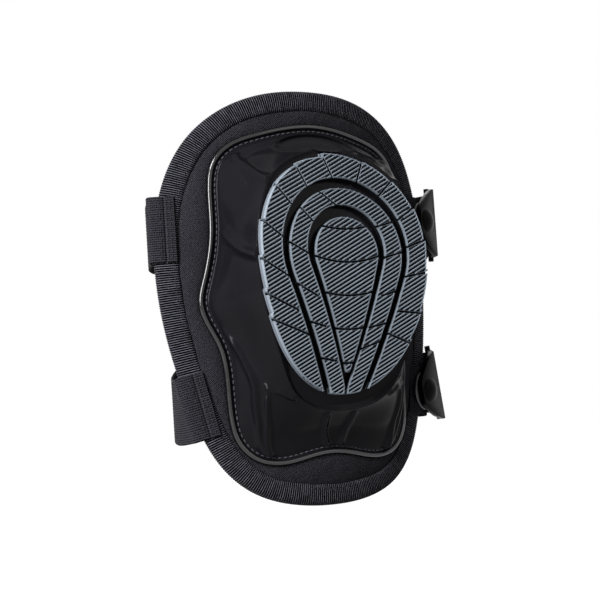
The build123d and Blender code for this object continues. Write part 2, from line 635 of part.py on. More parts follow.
def make_strap(left_level, left_tilt, plane, bar, rise):
    """Strap: sewn over the left edge, round the leg, through the clip and back."""
    place = Edge_place(-1, left_level, -left_tilt)
    front = BINDING_FRONT + LAYER_GAP + STRAP_THICKNESS / 2
    sag = STRAP_SEWN_LENGTH ** 2 / (2 * BEND_RADIUS)
    out = place.v
    wall = place.bulge(STRAP_WIDTH / 2) + 4 * LAYER_GAP + STRAP_THICKNESS / 2
    fold_radius = 1.6
    turn_at = wall - fold_radius
    stations = [
        (place.at(-STRAP_SEWN_LENGTH, front - sag), place.u + place.v * 0.07, out),
        (place.at(-STRAP_SEWN_LENGTH / 2, front - sag / 4), place.u + place.v * 0.035, out),
        (place.at(turn_at - 0.5, front), place.u, out),
    ]
    for step in range(1, 5):
        turn = math.radians(90) * step / 4
        along = place.u * math.cos(turn) - place.v * math.sin(turn)
        face = place.u * math.sin(turn) + place.v * math.cos(turn)
        stations.append((place.at(turn_at, front - fold_radius) + face * fold_radius, along, face))
    down = stations[-1][1]
    back_corner = place.at(wall, BINDING_BACK - 0.3)
    stations.append((back_corner, down, place.u))
    swing = math.radians(LEAVE_SWING)
    leave = down * math.cos(swing) - place.u * math.sin(swing)

    def clip_point(x, y, z):
        return plane.from_local_coords(Vector(x, y, z))

    def clip_way(x, y, z):
        return clip_point(x, y, z) - clip_point(0, 0, 0)

    bar_x, bar_z = bar
    wrap = CLIP_BAR_RADIUS + 0.25 + STRAP_THICKNESS / 2
    # the webbing leaves the bar towards the leg, free of the clip's own bend
    lead = math.radians(-STRAP_LEAD)
    way = clip_way(math.cos(lead), 0, math.sin(lead)).normalized()
    side = clip_way(-math.sin(lead), 0, math.cos(lead)).normalized()
    bar_centre = clip_point(bar_x, 0, bar_z)
    near = RUN_GAP / 2

    def run(distance, offset):
        return bar_centre + way * distance + side * offset

    last = run(TAIL_LENGTH + 4, -near)
    first = back_corner + down * 1.5
    middle_level = (first.Z + last.Z) / 2 + rise
    back = Vector((first.X + last.X) / 2 - 4, LOOP_DEPTH, middle_level)
    free = smooth_route([first, back, last], leave * 1.0, way * -1.0, 15)
    for centre, along in free:
        across = Vector(0, 0, 1)
        face = across.cross(along) * -1
        stations.append((centre, along, face))
    inner = side * -1
    stations.append((last, way * -1, inner))
    stations.append((run(TAIL_LENGTH * 0.45, -near), way * -1, inner))
    stations.append((run(12, -near - 0.15), way * -1, inner))
    stations.append((run(5, -wrap + 0.3), way * -1 - side * 0.1, inner))
    for step in range(0, 7):
        turn = math.pi * step / 6
        face = side * -math.cos(turn) - way * math.sin(turn)
        along = way * -math.cos(turn) + side * math.sin(turn)
        stations.append((bar_centre + face * wrap, along, face))
    stations.append((run(5, wrap - 0.3), way - side * 0.1, side))
    stations.append((run(12, near + 0.15), way, side))
    stations.append((run(TAIL_LENGTH, near), way, side))
    strap = strap_solid(stations, STRAP_WIDTH, STRAP_THICKNESS)
    slide_plane = Plane(origin=run(SLIDE_FROM_BAR, 0), x_dir=way, z_dir=side)
    return strap, slide_plane


def make_slide(plane):
    """Slide with a window for each run of strap."""
    window = STRAP_THICKNESS + 0.8
    centre_bar = RUN_GAP - window
    height = 2 * window + centre_bar + 2 * SLIDE_WALL
    width = STRAP_WIDTH + 0.8 + 2 * (SLIDE_WALL + 0.6)
    body = Box(SLIDE_LENGTH, width, height)
    body = fillet(body.edges().filter_by(Axis.Y), 1.2)
    for k in (-1, 1):
        body = body - Pos(0, 0, k * RUN_GAP / 2) * Box(SLIDE_LENGTH + 2, STRAP_WIDTH + 0.8, window)
    for k in (-1, 0, 1):
        ridge = Pos(k * SLIDE_LENGTH / 4, 0, height / 2) * Rot(90, 0, 0) * Cylinder(0.6, width - 6)
        body = body + ridge
    return plane * body


upper_strap, upper_slide_plane = make_strap(UPPER_LEFT_LEVEL, 0.0, upper_plane, clip_bar, 0.0)
lower_strap, lower_slide_plane = make_strap(
    LOWER_LEFT_LEVEL, LOWER_STRAP_TILT, lower_plane, clip_bar, LOWER_STRAP_RISE)
upper_slide = make_slide(upper_slide_plane)
lower_slide = make_slide(lower_slide_plane)

# ---------------------------------------------------------------- files
nodes = {
    "back_lining": back_lining,
    "foam_core": foam_core,
    "front_fabric": front_fabric,
    "edge_binding": edge_binding,
    "gel_cushion": gel_cushion,
    "impact_foam": impact_foam,
    "cap_shell": cap_shell,
    "tread_outer": tread_outer,
    "tread_middle": tread_middle,
    "tread_core": tread_core,
    "upper_tab": upper_tab,
    "lower_tab": lower_tab,
    "upper_stud_washer": upper_washer,
    "lower_stud_washer": lower_washer,
    "upper_snap_stud": upper_stud,
    "lower_snap_stud": lower_stud,
    "upper_clip": upper_clip,
    "lower_clip": lower_clip,
    "upper_strap": upper_strap,
    "lower_strap": lower_strap,
    "upper_slide": upper_slide,
    "lower_slide": lower_slide,
}
for name, shape in nodes.items():
    export_step(shape, f"parts/{name}.step")
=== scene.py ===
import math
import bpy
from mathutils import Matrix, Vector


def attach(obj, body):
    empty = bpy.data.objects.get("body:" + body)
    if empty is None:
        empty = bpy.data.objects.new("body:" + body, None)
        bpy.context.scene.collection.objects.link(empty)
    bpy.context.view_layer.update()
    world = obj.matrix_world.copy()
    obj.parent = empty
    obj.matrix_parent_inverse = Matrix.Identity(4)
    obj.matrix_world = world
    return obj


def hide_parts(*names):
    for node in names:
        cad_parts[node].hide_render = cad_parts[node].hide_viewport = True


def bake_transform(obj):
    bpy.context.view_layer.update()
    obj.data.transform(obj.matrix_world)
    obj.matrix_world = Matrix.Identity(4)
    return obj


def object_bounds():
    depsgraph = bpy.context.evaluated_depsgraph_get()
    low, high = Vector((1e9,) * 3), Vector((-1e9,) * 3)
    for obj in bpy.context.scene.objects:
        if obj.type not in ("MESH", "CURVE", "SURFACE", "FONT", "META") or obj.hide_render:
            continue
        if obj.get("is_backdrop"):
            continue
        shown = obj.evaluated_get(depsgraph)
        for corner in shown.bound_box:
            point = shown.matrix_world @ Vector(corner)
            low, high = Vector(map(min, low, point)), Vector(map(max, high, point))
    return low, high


bl_info = {
    "name": "Strapped knee pad",
    "version": (1, 0, 0),
    "blender": (4, 5, 0),
    "location": "3D View > Sidebar > Knee pad",
    "description": "Builds a knee pad with a moulded cap, ridged tread and clip-on elastic straps",
    "category": "Mesh",
}

import bmesh
import bpy
import numpy as np
from bpy.props import FloatProperty, FloatVectorProperty, IntProperty, PointerProperty
from mathutils import Matrix, Vector, noise

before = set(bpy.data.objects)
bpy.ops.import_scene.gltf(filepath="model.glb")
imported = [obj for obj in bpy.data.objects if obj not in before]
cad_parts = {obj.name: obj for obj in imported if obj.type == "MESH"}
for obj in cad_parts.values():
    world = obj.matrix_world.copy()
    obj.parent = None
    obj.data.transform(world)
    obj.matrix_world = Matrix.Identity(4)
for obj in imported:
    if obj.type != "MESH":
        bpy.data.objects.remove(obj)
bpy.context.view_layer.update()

MM = 0.001
UV_METRES = 0.1            # one UV unit

# ------------------------------------------------------------------ form of the pad
BEND_RADIUS = 0.175        # the pad is rolled round the leg about an upright axis
SEAT_TO_MIDDLE = 0.01385   # knee seat to the middle of the foam
AXIS_Y = BEND_RADIUS - SEAT_TO_MIDDLE
LINING_BACK = -4.65 * MM   # layers, as offsets from the middle of the foam
LINING_FRONT = -3.7 * MM
CLOTH_BACK = -3.3 * MM
CLOTH_FRONT = 4.45 * MM
CAP_BACK = 4.65 * MM

PAD_HALF = [(0, 125), (25.48, 123), (50.05, 114.9), (71, 98.4), (85.1, 71.75), (91, 35),
            (89.45, -2.35), (82.8, -39.6), (73.7, -70.5), (62.3, -92.9), (46.4, -107.4),
            (25.5, -115.15), (0, -117.5)]
CAP_HALF = [(0, 105), (18, 103.2), (35, 99.2), (50.5, 93.2), (60, 83), (63.2, 68), (63.6, 42),
            (68.5, 15), (71, 2), (68, -11), (62.5, -24), (59.8, -42), (59, -64), (55.5, -79),
            (46, -89.5), (30, -93), (12, -89.8), (0, -88.5)]

CROWN_RADIUS = 0.233       # the kneeling face is rolled about a level axis
CROWN_LEVEL = 0.0185
CROWN_REACH = 0.0358
TREAD_MM = (55.2, 56.0, 81.5, 26.5)     # half width, reach up, reach down, height of its centre
TREAD_HALF_WIDTH, TREAD_UP, TREAD_DOWN, TREAD_CENTRE = (value * MM for value in TREAD_MM)
TREAD_THICKNESS = 3.4 * MM
TREAD_LEDGE = 0.8 * MM
DOME_CENTRE = 0.018
DOME_RISE = [(0.0, -16.0), (0.2, 4.0), (0.7, 20.0), (1.0, 37.0)]   # part way in, reach in mm
DOME_SLOPES = [0.048, 0.038, 0.068]     # of the last three, in metres for the whole way


def smoothstep(t):
    t = np.clip(t, 0.0, 1.0)
    return t * t * (3 - 2 * t)


def hermite(t, start, start_slope, end, end_slope):
    """Smooth curve between two values with the slopes at its ends, for t from 0 to 1."""
    return ((2 * t ** 3 - 3 * t ** 2 + 1) * start + (t ** 3 - 2 * t ** 2 + t) * start_slope
            + (-2 * t ** 3 + 3 * t ** 2) * end + (t ** 3 - t ** 2) * end_slope)


def run_length(line):
    """Distance along a line at each of its points."""
    return np.concatenate([[0], np.cumsum(np.linalg.norm(np.diff(line, axis=0), axis=1))])


def sampled(line, run, at):
    """Values of a line, given with its run, at distances along it."""
    return np.stack([np.interp(at, run, line[:, k]) for k in range(line.shape[1])], -1)


def closed_spline(points, count):
    """Evenly spaced points on the smooth closed curve through the given points."""
    p = np.array(points, float)
    n = len(p)
    gap = np.linalg.norm(np.roll(p, -1, 0) - p, axis=1)
    system = np.zeros((n, n))
    right = np.zeros((n, p.shape[1]))
    for i in range(n):
        a, b, j = gap[i - 1], gap[i], (i + 1) % n
        system[i, i - 1] += a
        system[i, i] += 2 * (a + b)
        system[i, j] += b
        right[i] = 6 * ((p[j] - p[i]) / b - (p[i] - p[i - 1]) / a)
    bend = np.linalg.solve(system, right)
    dense = []
    for i in range(n):
        h, j = gap[i], (i + 1) % n
        for t in np.linspace(0, h, 60, endpoint=False):
            s = h - t
            dense.append(bend[i] * s ** 3 / (6 * h) + bend[j] * t ** 3 / (6 * h)
                         + (p[i] / h - bend[i] * h / 6) * s + (p[j] / h - bend[j] * h / 6) * t)
    dense = np.array(dense + dense[:1])
    length = run_length(dense)
    return sampled(dense, length, np.linspace(0, length[-1], count, endpoint=False))


def outline(half, count=720):
    """Closed outline in metres, front view, from a half outline in mm."""
    back = [(-x, z) for x, z in reversed(half) if abs(x) > 1e-6]
    return closed_spline(list(half) + back, count) * MM


def outward_ways(points):
    """Outward directions of a closed outline, which runs clockwise in the front view."""
    way = np.roll(points, -1, 0) - np.roll(points, 1, 0)
    way /= np.linalg.norm(way, axis=1)[:, None]
    return np.stack([-way[:, 1], way[:, 0]], 1)


def grown(points, amount):
    """Closed outline moved outwards."""
    return points + outward_ways(points) * amount


def by_angle(points, angles):
    """Points of a closed outline in the given directions from the dome's centre."""
    a = np.arctan2(points[:, 0], points[:, 1] - DOME_CENTRE) % (2 * math.pi)
    r = np.hypot(points[:, 0], points[:, 1] - DOME_CENTRE)
    order = np.argsort(a)
    a, r = a[order], r[order]
    a = np.concatenate([a[-3:] - 2 * math.pi, a, a[:3] + 2 * math.pi])
    r = np.concatenate([r[-3:], r, r[:3]])
    reach = np.interp(angles % (2 * math.pi), a, r)
    return np.stack([reach * np.sin(angles), DOME_CENTRE + reach * np.cos(angles)], -1)


def drawn_in(flat, part):
    """Flat points moved towards the dome's centre, to part of their distance from it."""
    return np.stack([flat[:, 0] * part, DOME_CENTRE + (flat[:, 1] - DOME_CENTRE) * part], 1)


def rolled(x, z, offset):
    """Place of a point of a layer: x and z in the flat front view, offset from the middle."""
    turn = np.arcsin(np.clip(np.asarray(x) / BEND_RADIUS, -0.95, 0.95))
    radius = BEND_RADIUS + offset
    return np.stack([radius * np.sin(turn), AXIS_Y - radius * np.cos(turn),
                     np.asarray(z) + 0 * turn], -1)


def on_pad(flat, offset):
    """Places of flat points (x, z) of a layer."""
    return rolled(flat[:, 0], flat[:, 1], offset)


def from_axis(points):
    """Level directions away from the axis that the pad is rolled about."""
    way = points - np.array([0, AXIS_Y, 0])
    way[:, 2] = 0
    return way


def forward(x, z, reach):
    """Place of a point by its reach in front of the middle of the pad."""
    return np.stack([x, -SEAT_TO_MIDDLE - reach, z], -1)


def crown_reach(z, depth=0.0):
    """Reach of the kneeling face at a height, less a depth."""
    drop = np.sqrt((CROWN_RADIUS - depth) ** 2 - (z - CROWN_LEVEL) ** 2)
    return CROWN_REACH - CROWN_RADIUS + drop


def tread_edge(angles, grow):
    """Outer edge of the tread, grown, in directions from its centre."""
    up = np.where(np.cos(angles) > 0, TREAD_UP, TREAD_DOWN) + grow
    return np.stack([(TREAD_HALF_WIDTH + grow) * np.sin(angles),
                     TREAD_CENTRE + up * np.cos(angles)], -1)


def rise_at(part):
    """Reach of the dome part of the way from its foot to the tread."""
    f, r = np.array(DOME_RISE).T
    r = r * MM
    slope = np.array([(r[1] - r[0]) / f[1], *DOME_SLOPES])
    i = np.clip(np.searchsorted(f, part) - 1, 0, 2)
    h = f[i + 1] - f[i]
    return hermite((part - f[i]) / h, r[i], h * slope[i], r[i + 1], h * slope[i + 1])


RISE_PARTS = np.linspace(0, 1, 401)
RISE_REACH = rise_at(RISE_PARTS)


# ------------------------------------------------------------------ mesh helpers
def linked(name, data):
    """New object in the scene."""
    obj = bpy.data.objects.new(name, data)
    bpy.context.scene.collection.objects.link(obj)
    return obj


def discard(obj):
    """Removes an object and its mesh."""
    mesh = obj.data
    bpy.data.objects.remove(obj)
    bpy.data.meshes.remove(mesh)


def new_object(name, verts, faces, paints, smooth=True, uvs=None, paint_of=None):
    """Mesh object with one paint or several; uvs holds a pair in metres for each vertex."""
    mesh = bpy.data.meshes.new(name)
    mesh.from_pydata([tuple(v) for v in np.asarray(verts, float)], [], faces)
    for paint in paints if isinstance(paints, list) else [paints]:
        mesh.materials.append(paint)
    if uvs is not None:
        layer = mesh.uv_layers.new(name="UVMap")
        index = np.zeros(len(mesh.loops), int)
        mesh.loops.foreach_get("vertex_index", index)
        layer.data.foreach_set("uv", (np.asarray(uvs, float)[index] / UV_METRES).ravel())
    if paint_of is not None:
        mesh.polygons.foreach_set("material_index", paint_of)
    mesh.polygons.foreach_set("use_smooth", [smooth] * len(mesh.polygons))
    mesh.update()
    return linked(name, mesh)


def grid_faces(rows, columns, closed_columns=True, closed_rows=False):
    """Quads of a grid of rows x columns vertices."""
    faces = []
    for i in range(rows if closed_rows else rows - 1):
        k = (i + 1) % rows
        for j in range(columns if closed_columns else columns - 1):
            m = (j + 1) % columns
            faces.append((i * columns + j, i * columns + m, k * columns + m, k * columns + j))
    return faces


def edit_mesh(mesh, work):
    """Runs a function on the editable form of a mesh and writes the result back."""
    bm = bmesh.new()
    bm.from_mesh(mesh)
    work(bm)
    bm.to_mesh(mesh)
    bm.free()


def make_outward(obj):
    """Faces of a closed mesh point outwards."""
    edit_mesh(obj.data, lambda bm: bmesh.ops.recalc_face_normals(bm, faces=bm.faces))


def sharpen(obj, degrees):
    """Smooth shading, with edges over an angle kept sharp."""
    def mark(bm):
        for face in bm.faces:
            face.smooth = True
        for edge in bm.edges:
            if len(edge.link_faces) == 2:
                edge.smooth = edge.calc_face_angle(0.0) < math.radians(degrees)
    edit_mesh(obj.data, mark)


def apply_modifiers(obj):
    """The evaluated mesh becomes the object's plain mesh."""
    bpy.context.view_layer.update()
    depsgraph = bpy.context.evaluated_depsgraph_get()
    mesh = bpy.data.meshes.new_from_object(obj.evaluated_get(depsgraph))
    obj.modifiers.clear()
    obj.data = mesh


def finish_piece(obj, body, slot, *nodes):
    """The piece rides on a body and stands for CAD nodes."""
    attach(obj, body)
    if nodes:
        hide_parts(*nodes)


# ------------------------------------------------------------------ nodes
def add_node(tree, kind, values=None, **settings):
    """New node with its settings; its inputs are linked to sockets or set to values."""
    node = tree.nodes.new(kind)
    for label, value in settings.items():
        setattr(node, label, value)
    feed(tree, node, values or {})
    return node


def feed(tree, node, values):
    """Links inputs of a node to sockets, or sets them."""
    for key, value in values.items():
        if isinstance(value, bpy.types.NodeSocket):
            tree.links.new(value, node.inputs[key])
        elif value is not None:
            node.inputs[key].default_value = value


def math_node(tree, kind, a, b=None, c=None):
    return add_node(tree, "ShaderNodeMath", {0: a, 1: b, 2: c}, operation=kind).outputs[0]


def noise_node(tree, where, scale, detail=3.0, rough=0.55):
    return add_node(tree, "ShaderNodeTexNoise", {"Vector": where, "Scale": scale,
                    "Detail": detail, "Roughness": rough}).outputs["Fac"]


def ramp_node(tree, value, low, high, from_low=0.0, from_high=1.0):
    """Maps a value to a range."""
    return add_node(tree, "ShaderNodeMapRange", {"Value": value, "From Min": from_low,
                    "From Max": from_high, "To Min": low, "To Max": high}).outputs["Result"]


def mix_node(tree, part, dark, light):
    return add_node(tree, "ShaderNodeMix", {"Factor": part, "A": (*dark, 1.0), "B": (*light, 1.0)},
                    data_type="RGBA").outputs["Result"]


def bump_node(tree, height, distance):
    return add_node(tree, "ShaderNodeBump", {"Height": height, "Distance": distance,
                                             "Strength": 1.0}).outputs[0]


# ------------------------------------------------------------------ materials
def new_material(name):
    paint = bpy.data.materials.new(name)
    paint.use_nodes = True
    tree = paint.node_tree
    tree.nodes.clear()
    out = tree.nodes.new("ShaderNodeOutputMaterial")
    shader = tree.nodes.new("ShaderNodeBsdfPrincipled")
    tree.links.new(shader.outputs[0], out.inputs[0])
    coordinates = tree.nodes.new("ShaderNodeTexCoord").outputs
    return paint, tree, shader, coordinates


def shade(c, factor):
    """Colour made darker or lighter."""
    return tuple(max(0.0, v * factor) for v in c[:3])


def plastic(name, colour, rough, specular, grain):
    """Moulded plastic: faint flow marks, small scuffs and a fine skin."""
    paint, tree, shader, coordinates = new_material(name)
    where = coordinates["Object"]
    cloud = noise_node(tree, where, 35.0, 4.0)
    scuff = noise_node(tree, where, 420.0, 5.0, 0.7)
    feed(tree, shader, {
        "Base Color": mix_node(tree, cloud, shade(colour, 0.7), shade(colour, 1.35)),
        "Roughness": ramp_node(tree, scuff, rough - 0.05, rough + 0.10, 0.35, 0.7),
        "Specular IOR Level": specular,
        "Normal": bump_node(tree, noise_node(tree, where, 900.0, 3.0), grain)})
    return paint


def woven(name, dark, light, across, along, rough, depth, sheen=0.02, ribs=False, fuzz=0.7,
          low=0.25, high=0.95):
    """Woven cloth on the UV map: two sets of threads with pitches in metres, and stray fibres."""
    paint, tree, shader, coordinates = new_material(name)
    uv = coordinates["UV"]
    parts = add_node(tree, "ShaderNodeSeparateXYZ", {0: uv}).outputs
    turn = 2 * math.pi * UV_METRES
    u = math_node(tree, "SINE", math_node(tree, "MULTIPLY", parts[0], turn / across))
    v = math_node(tree, "SINE", math_node(tree, "MULTIPLY", parts[1], turn / along))
    if ribs:
        weave = math_node(tree, "MULTIPLY_ADD", u, 0.34, 0.5)
        weave = math_node(tree, "MULTIPLY_ADD", v, 0.12, weave)
    else:
        weave = math_node(tree, "MULTIPLY_ADD", math_node(tree, "MULTIPLY", u, v), 0.45, 0.5)
    stray = noise_node(tree, uv, 1.6 * UV_METRES / along, 2.0, 0.7)
    worn = math_node(tree, "MULTIPLY_ADD", noise_node(tree, uv, 3.0, 4.0), 0.5, 0.75)
    flat = math_node(tree, "MULTIPLY", weave, 0.8)
    sharp = ramp_node(tree, math_node(tree, "MULTIPLY_ADD", stray, fuzz, flat), 0.0, 1.2, low, high)
    feed(tree, shader, {
        "Base Color": mix_node(tree, math_node(tree, "MULTIPLY", worn, sharp), dark, light),
        "Roughness": ramp_node(tree, weave, rough + 0.08, rough - 0.06),
        "Specular IOR Level": 0.01, "Sheen Weight": sheen, "Sheen Roughness": 0.45,
        "Normal": bump_node(tree, math_node(tree, "MULTIPLY_ADD", stray, fuzz, weave), depth)})
    return paint


def ribbed_tape(name, dark, light):
    """Binding tape, black: painted sheen on the rib tops and painted shade between them, each rib a
    little different.
    """
    paint, tree, shader, coordinates = new_material(name)
    uv = coordinates["UV"]
    rib = add_node(tree, "ShaderNodeAttribute", attribute_name="rib").outputs["Fac"]
    stretched = add_node(tree, "ShaderNodeVectorMath", {0: uv, 1: (74.0, 14.0, 1.0)},
                         operation="MULTIPLY").outputs[0]
    own = noise_node(tree, stretched, 1.0, 2.0, 0.6)
    fine = noise_node(tree, uv, 260.0, 2.0, 0.7)
    # The rib value, sharpened, puts the painted sheen on the rib tops and leaves painted shade
    # between them.
    tint = math_node(tree, "MULTIPLY", math_node(tree, "POWER", rib, 5.5),
                     ramp_node(tree, own, 0.45, 1.1, 0.32, 0.68))
    tint = math_node(tree, "MULTIPLY", tint, ramp_node(tree, fine, 0.45, 1.2, 0.3, 0.7))
    feed(tree, shader, {
        "Base Color": mix_node(tree, tint, dark, light), "Roughness": 0.62,
        "Specular IOR Level": 0.02, "Sheen Weight": 0.01,
        "Normal": bump_node(tree, fine, 0.00012)})
    return paint


def brushed(name, dark, light, scale, rough, depth, sheen):
    """Thread or brushed lining on Object coordinates: short soft fibres in clumps."""
    paint, tree, shader, coordinates = new_material(name)
    where = coordinates["Object"]
    fibre = noise_node(tree, where, scale, 4.0, 0.7)
    clump = math_node(tree, "MULTIPLY_ADD", noise_node(tree, where, scale / 12, 3.0), 0.7, 0.6)
    feed(tree, shader, {
        "Base Color": mix_node(tree, math_node(tree, "MULTIPLY", fibre, clump), dark, light),
        "Roughness": rough, "Specular IOR Level": 0.02, "Sheen Weight": sheen,
        "Normal": bump_node(tree, fibre, depth)})
    return paint


def rubber(name, colour, rough):
    """Matt moulded rubber with a dusty bloom."""
    paint, tree, shader, coordinates = new_material(name)
    where = coordinates["Object"]
    bloom = noise_node(tree, where, 60.0, 5.0)
    grain = noise_node(tree, where, 1500.0, 3.0)
    part = math_node(tree, "MULTIPLY_ADD", grain, 0.4, math_node(tree, "MULTIPLY", bloom, 0.6))
    feed(tree, shader, {
        "Base Color": mix_node(tree, part, shade(colour, 0.75), shade(colour, 1.25)),
        "Roughness": ramp_node(tree, bloom, rough - 0.08, rough + 0.08),
        "Specular IOR Level": 0.05, "Normal": bump_node(tree, grain, 0.00006)})
    return paint


def metal(name, colour, rough):
    """Dark plated steel with faint wear."""
    paint, tree, shader, coordinates = new_material(name)
    worn = noise_node(tree, coordinates["Object"], 300.0, 4.0)
    feed(tree, shader, {
        "Base Color": mix_node(tree, worn, shade(colour, 0.7), shade(colour, 1.1)),
        "Roughness": ramp_node(tree, worn, rough - 0.1, rough + 0.15),
        "Metallic": 1.0, "Normal": bump_node(tree, worn, 0.00003)})
    return paint


MATERIALS = {}


def material(name):
    """Materials of this object, made once each from the panel's colours."""
    if name in MATERIALS:
        return MATERIALS[name]
    colours = bpy.context.scene.knee_pad_colours
    black, cloth, tread = tuple(colours.plastic), tuple(colours.cloth), tuple(colours.tread)
    makers = {
        "cap_gloss": lambda: plastic(name, shade(black, 1.9), rough=0.16, specular=0.045,
                                     grain=0.00002),
        "rim_gloss": lambda: plastic(name, black, rough=0.12, specular=0.55, grain=0.00003),
        "clip_gloss": lambda: plastic(name, shade(black, 0.5), rough=0.28, specular=0.03,
                                      grain=0.00003),
        "recess_matt": lambda: plastic(name, shade(black, 1.6), rough=0.5, specular=0.12,
                                       grain=0.00008),
        "oxford_cloth": lambda: woven(name, shade(cloth, 0.1), shade(cloth, 3.0), across=0.0012,
                                      along=0.0012, rough=0.85, depth=0.0005, fuzz=1.6, low=0.85,
                                      high=1.45),
        # Black and light copies of the tape cloth: painted sheen on the ribs, painted shade between
        # them.
        "tape_rib_painted_sheen": lambda: ribbed_tape(name, shade(cloth, 0.0), shade(cloth, 21.0)),
        "webbing": lambda: woven(name, shade(cloth, 0.1), shade(cloth, 2.0), across=0.0013,
                                 along=0.0010, rough=0.75, depth=0.0004),
        "elastic": lambda: woven(name, shade(cloth, 0.1), shade(cloth, 2.9), across=0.0013,
                                 along=0.0011, rough=0.72, depth=0.0004, ribs=True, fuzz=1.6,
                                 low=0.85, high=1.45),
        # The light grey of this thread is painted highlight: the stitches are dark and show light
        # only where they catch the light.
        "thread": lambda: brushed(name, shade(cloth, 1.6), shade(cloth, 8.0), scale=2500.0,
                                  rough=0.5, depth=0.00004, sheen=0.02),
        "dark_thread": lambda: brushed(name, shade(cloth, 0.6), shade(cloth, 3.0), scale=2500.0,
                                       rough=0.5, depth=0.00004, sheen=0.02),
        "lining": lambda: brushed(name, shade(cloth, 0.4), shade(cloth, 2.0), scale=900.0,
                                  rough=0.95, depth=0.0003, sheen=0.04),
        "knit": lambda: woven(name, shade(cloth, 0.3), shade(cloth, 2.4), across=0.0013,
                              along=0.0009, rough=0.85, depth=0.0003, sheen=0.04),
        "tread_body": lambda: rubber(name, shade(tread, 0.62), rough=0.66),
        # Nearly black copy of the tread rubber: painted shade for the tops between the ridges, the
        # slit floors and the groove walls.
        "tread_painted_shade": lambda: rubber(name, shade(tread, 0.035), rough=0.60),
        "tread_ridge": lambda: rubber(name, tread, rough=0.66),
        "steel": lambda: metal(name, (0.045, 0.045, 0.048), rough=0.35),
    }
    MATERIALS[name] = makers[name]()
    return MATERIALS[name]


# ------------------------------------------------------------------ node trees for what repeats
def new_tree(name, inputs):
    """Geometry Nodes tree with named inputs; returns it, the sockets it is given and its end."""
    tree = bpy.data.node_groups.new(name, "GeometryNodeTree")
    tree.interface.new_socket("Geometry", in_out="INPUT", socket_type="NodeSocketGeometry")
    tree.interface.new_socket("Geometry", in_out="OUTPUT", socket_type="NodeSocketGeometry")
    for label, kind, value in inputs:
        socket = tree.interface.new_socket(label, in_out="INPUT", socket_type=kind)
        if value is not None:
            socket.default_value = value
    return tree, tree.nodes.new("NodeGroupInput").outputs, tree.nodes.new("NodeGroupOutput")


def close_tree(tree, geometry, given, out):
    """The tree ends in plain geometry with its material set."""
    real = add_node(tree, "GeometryNodeRealizeInstances", {0: geometry})
    paint = add_node(tree, "GeometryNodeSetMaterial", {"Geometry": real.outputs[0],
                                                       "Material": given["Material"]})
    tree.links.new(paint.outputs[0], out.inputs[0])


def repeat_tree():
    """Copies of a template on points, turned to the points' own along and outward directions."""
    tree, given, out = new_tree("repeat_on_points", [
        ("Template", "NodeSocketObject", None), ("Material", "NodeSocketMaterial", None),
        ("Size jitter", "NodeSocketFloat", 0.04), ("Seed", "NodeSocketInt", 3)])
    info = add_node(tree, "GeometryNodeObjectInfo", {"Object": given["Template"]})
    turn = add_node(tree, "FunctionNodeAxesToRotation", primary_axis="X", secondary_axis="Z")
    for label, socket in (("along", "Primary Axis"), ("outward", "Secondary Axis")):
        read = add_node(tree, "GeometryNodeInputNamedAttribute", {"Name": label},
                        data_type="FLOAT_VECTOR")
        tree.links.new(read.outputs["Attribute"], turn.inputs[socket])
    spread = add_node(tree, "FunctionNodeRandomValue", {"Seed": given["Seed"]}, data_type="FLOAT")
    ends = [s for s in spread.inputs if s.type == "VALUE"]
    for kind, end in zip(("SUBTRACT", "ADD"), ends):
        tree.links.new(math_node(tree, kind, 1.0, given["Size jitter"]), end)
    scale = [s for s in spread.outputs if s.type == "VALUE"][0]
    place = add_node(tree, "GeometryNodeInstanceOnPoints", {
        "Points": given["Geometry"], "Instance": info.outputs["Geometry"],
        "Rotation": turn.outputs[0], "Scale": scale})
    close_tree(tree, place.outputs[0], given, out)
    return tree


def ridge_tree():
    """Bars of a given section along the edges of a mesh that lies on the kneeling face."""
    tree, given, out = new_tree("ridges_on_lines", [
        ("Foot width", "NodeSocketFloat", 0.0014), ("Top width", "NodeSocketFloat", 0.0006),
        ("Height", "NodeSocketFloat", 0.0008), ("Material", "NodeSocketMaterial", None)])
    curve = add_node(tree, "GeometryNodeMeshToCurve", {0: given["Geometry"]})
    upright = add_node(tree, "GeometryNodeSetCurveNormal", {0: curve.outputs[0]}, mode="Z_UP")
    section = add_node(tree, "GeometryNodeCurvePrimitiveQuadrilateral", {
        "Bottom Width": given["Foot width"], "Top Width": given["Top width"],
        "Height": given["Height"], "Offset": 0.0}, mode="TRAPEZOID")
    sweep = add_node(tree, "GeometryNodeCurveToMesh", {
        "Curve": upright.outputs[0], "Profile Curve": section.outputs[0], "Fill Caps": True})
    close_tree(tree, sweep.outputs[0], given, out)
    return tree


TREES = {}


def run_tree(obj, maker, values):
    """Runs a node tree on an object and keeps the result as its plain mesh."""
    tree = TREES.get(maker.__name__) or maker()
    TREES[maker.__name__] = tree
    modifier = obj.modifiers.new("nodes", "NODES")
    modifier.node_group = tree
    names = {item.name: item.identifier for item in tree.interface.items_tree
             if item.item_type == "SOCKET" and item.in_out == "INPUT"}
    for label, value in values.items():
        modifier[names[label]] = value
    apply_modifiers(obj)


# ------------------------------------------------------------------ stitches
STITCH_PART = 0.78         # of the pitch


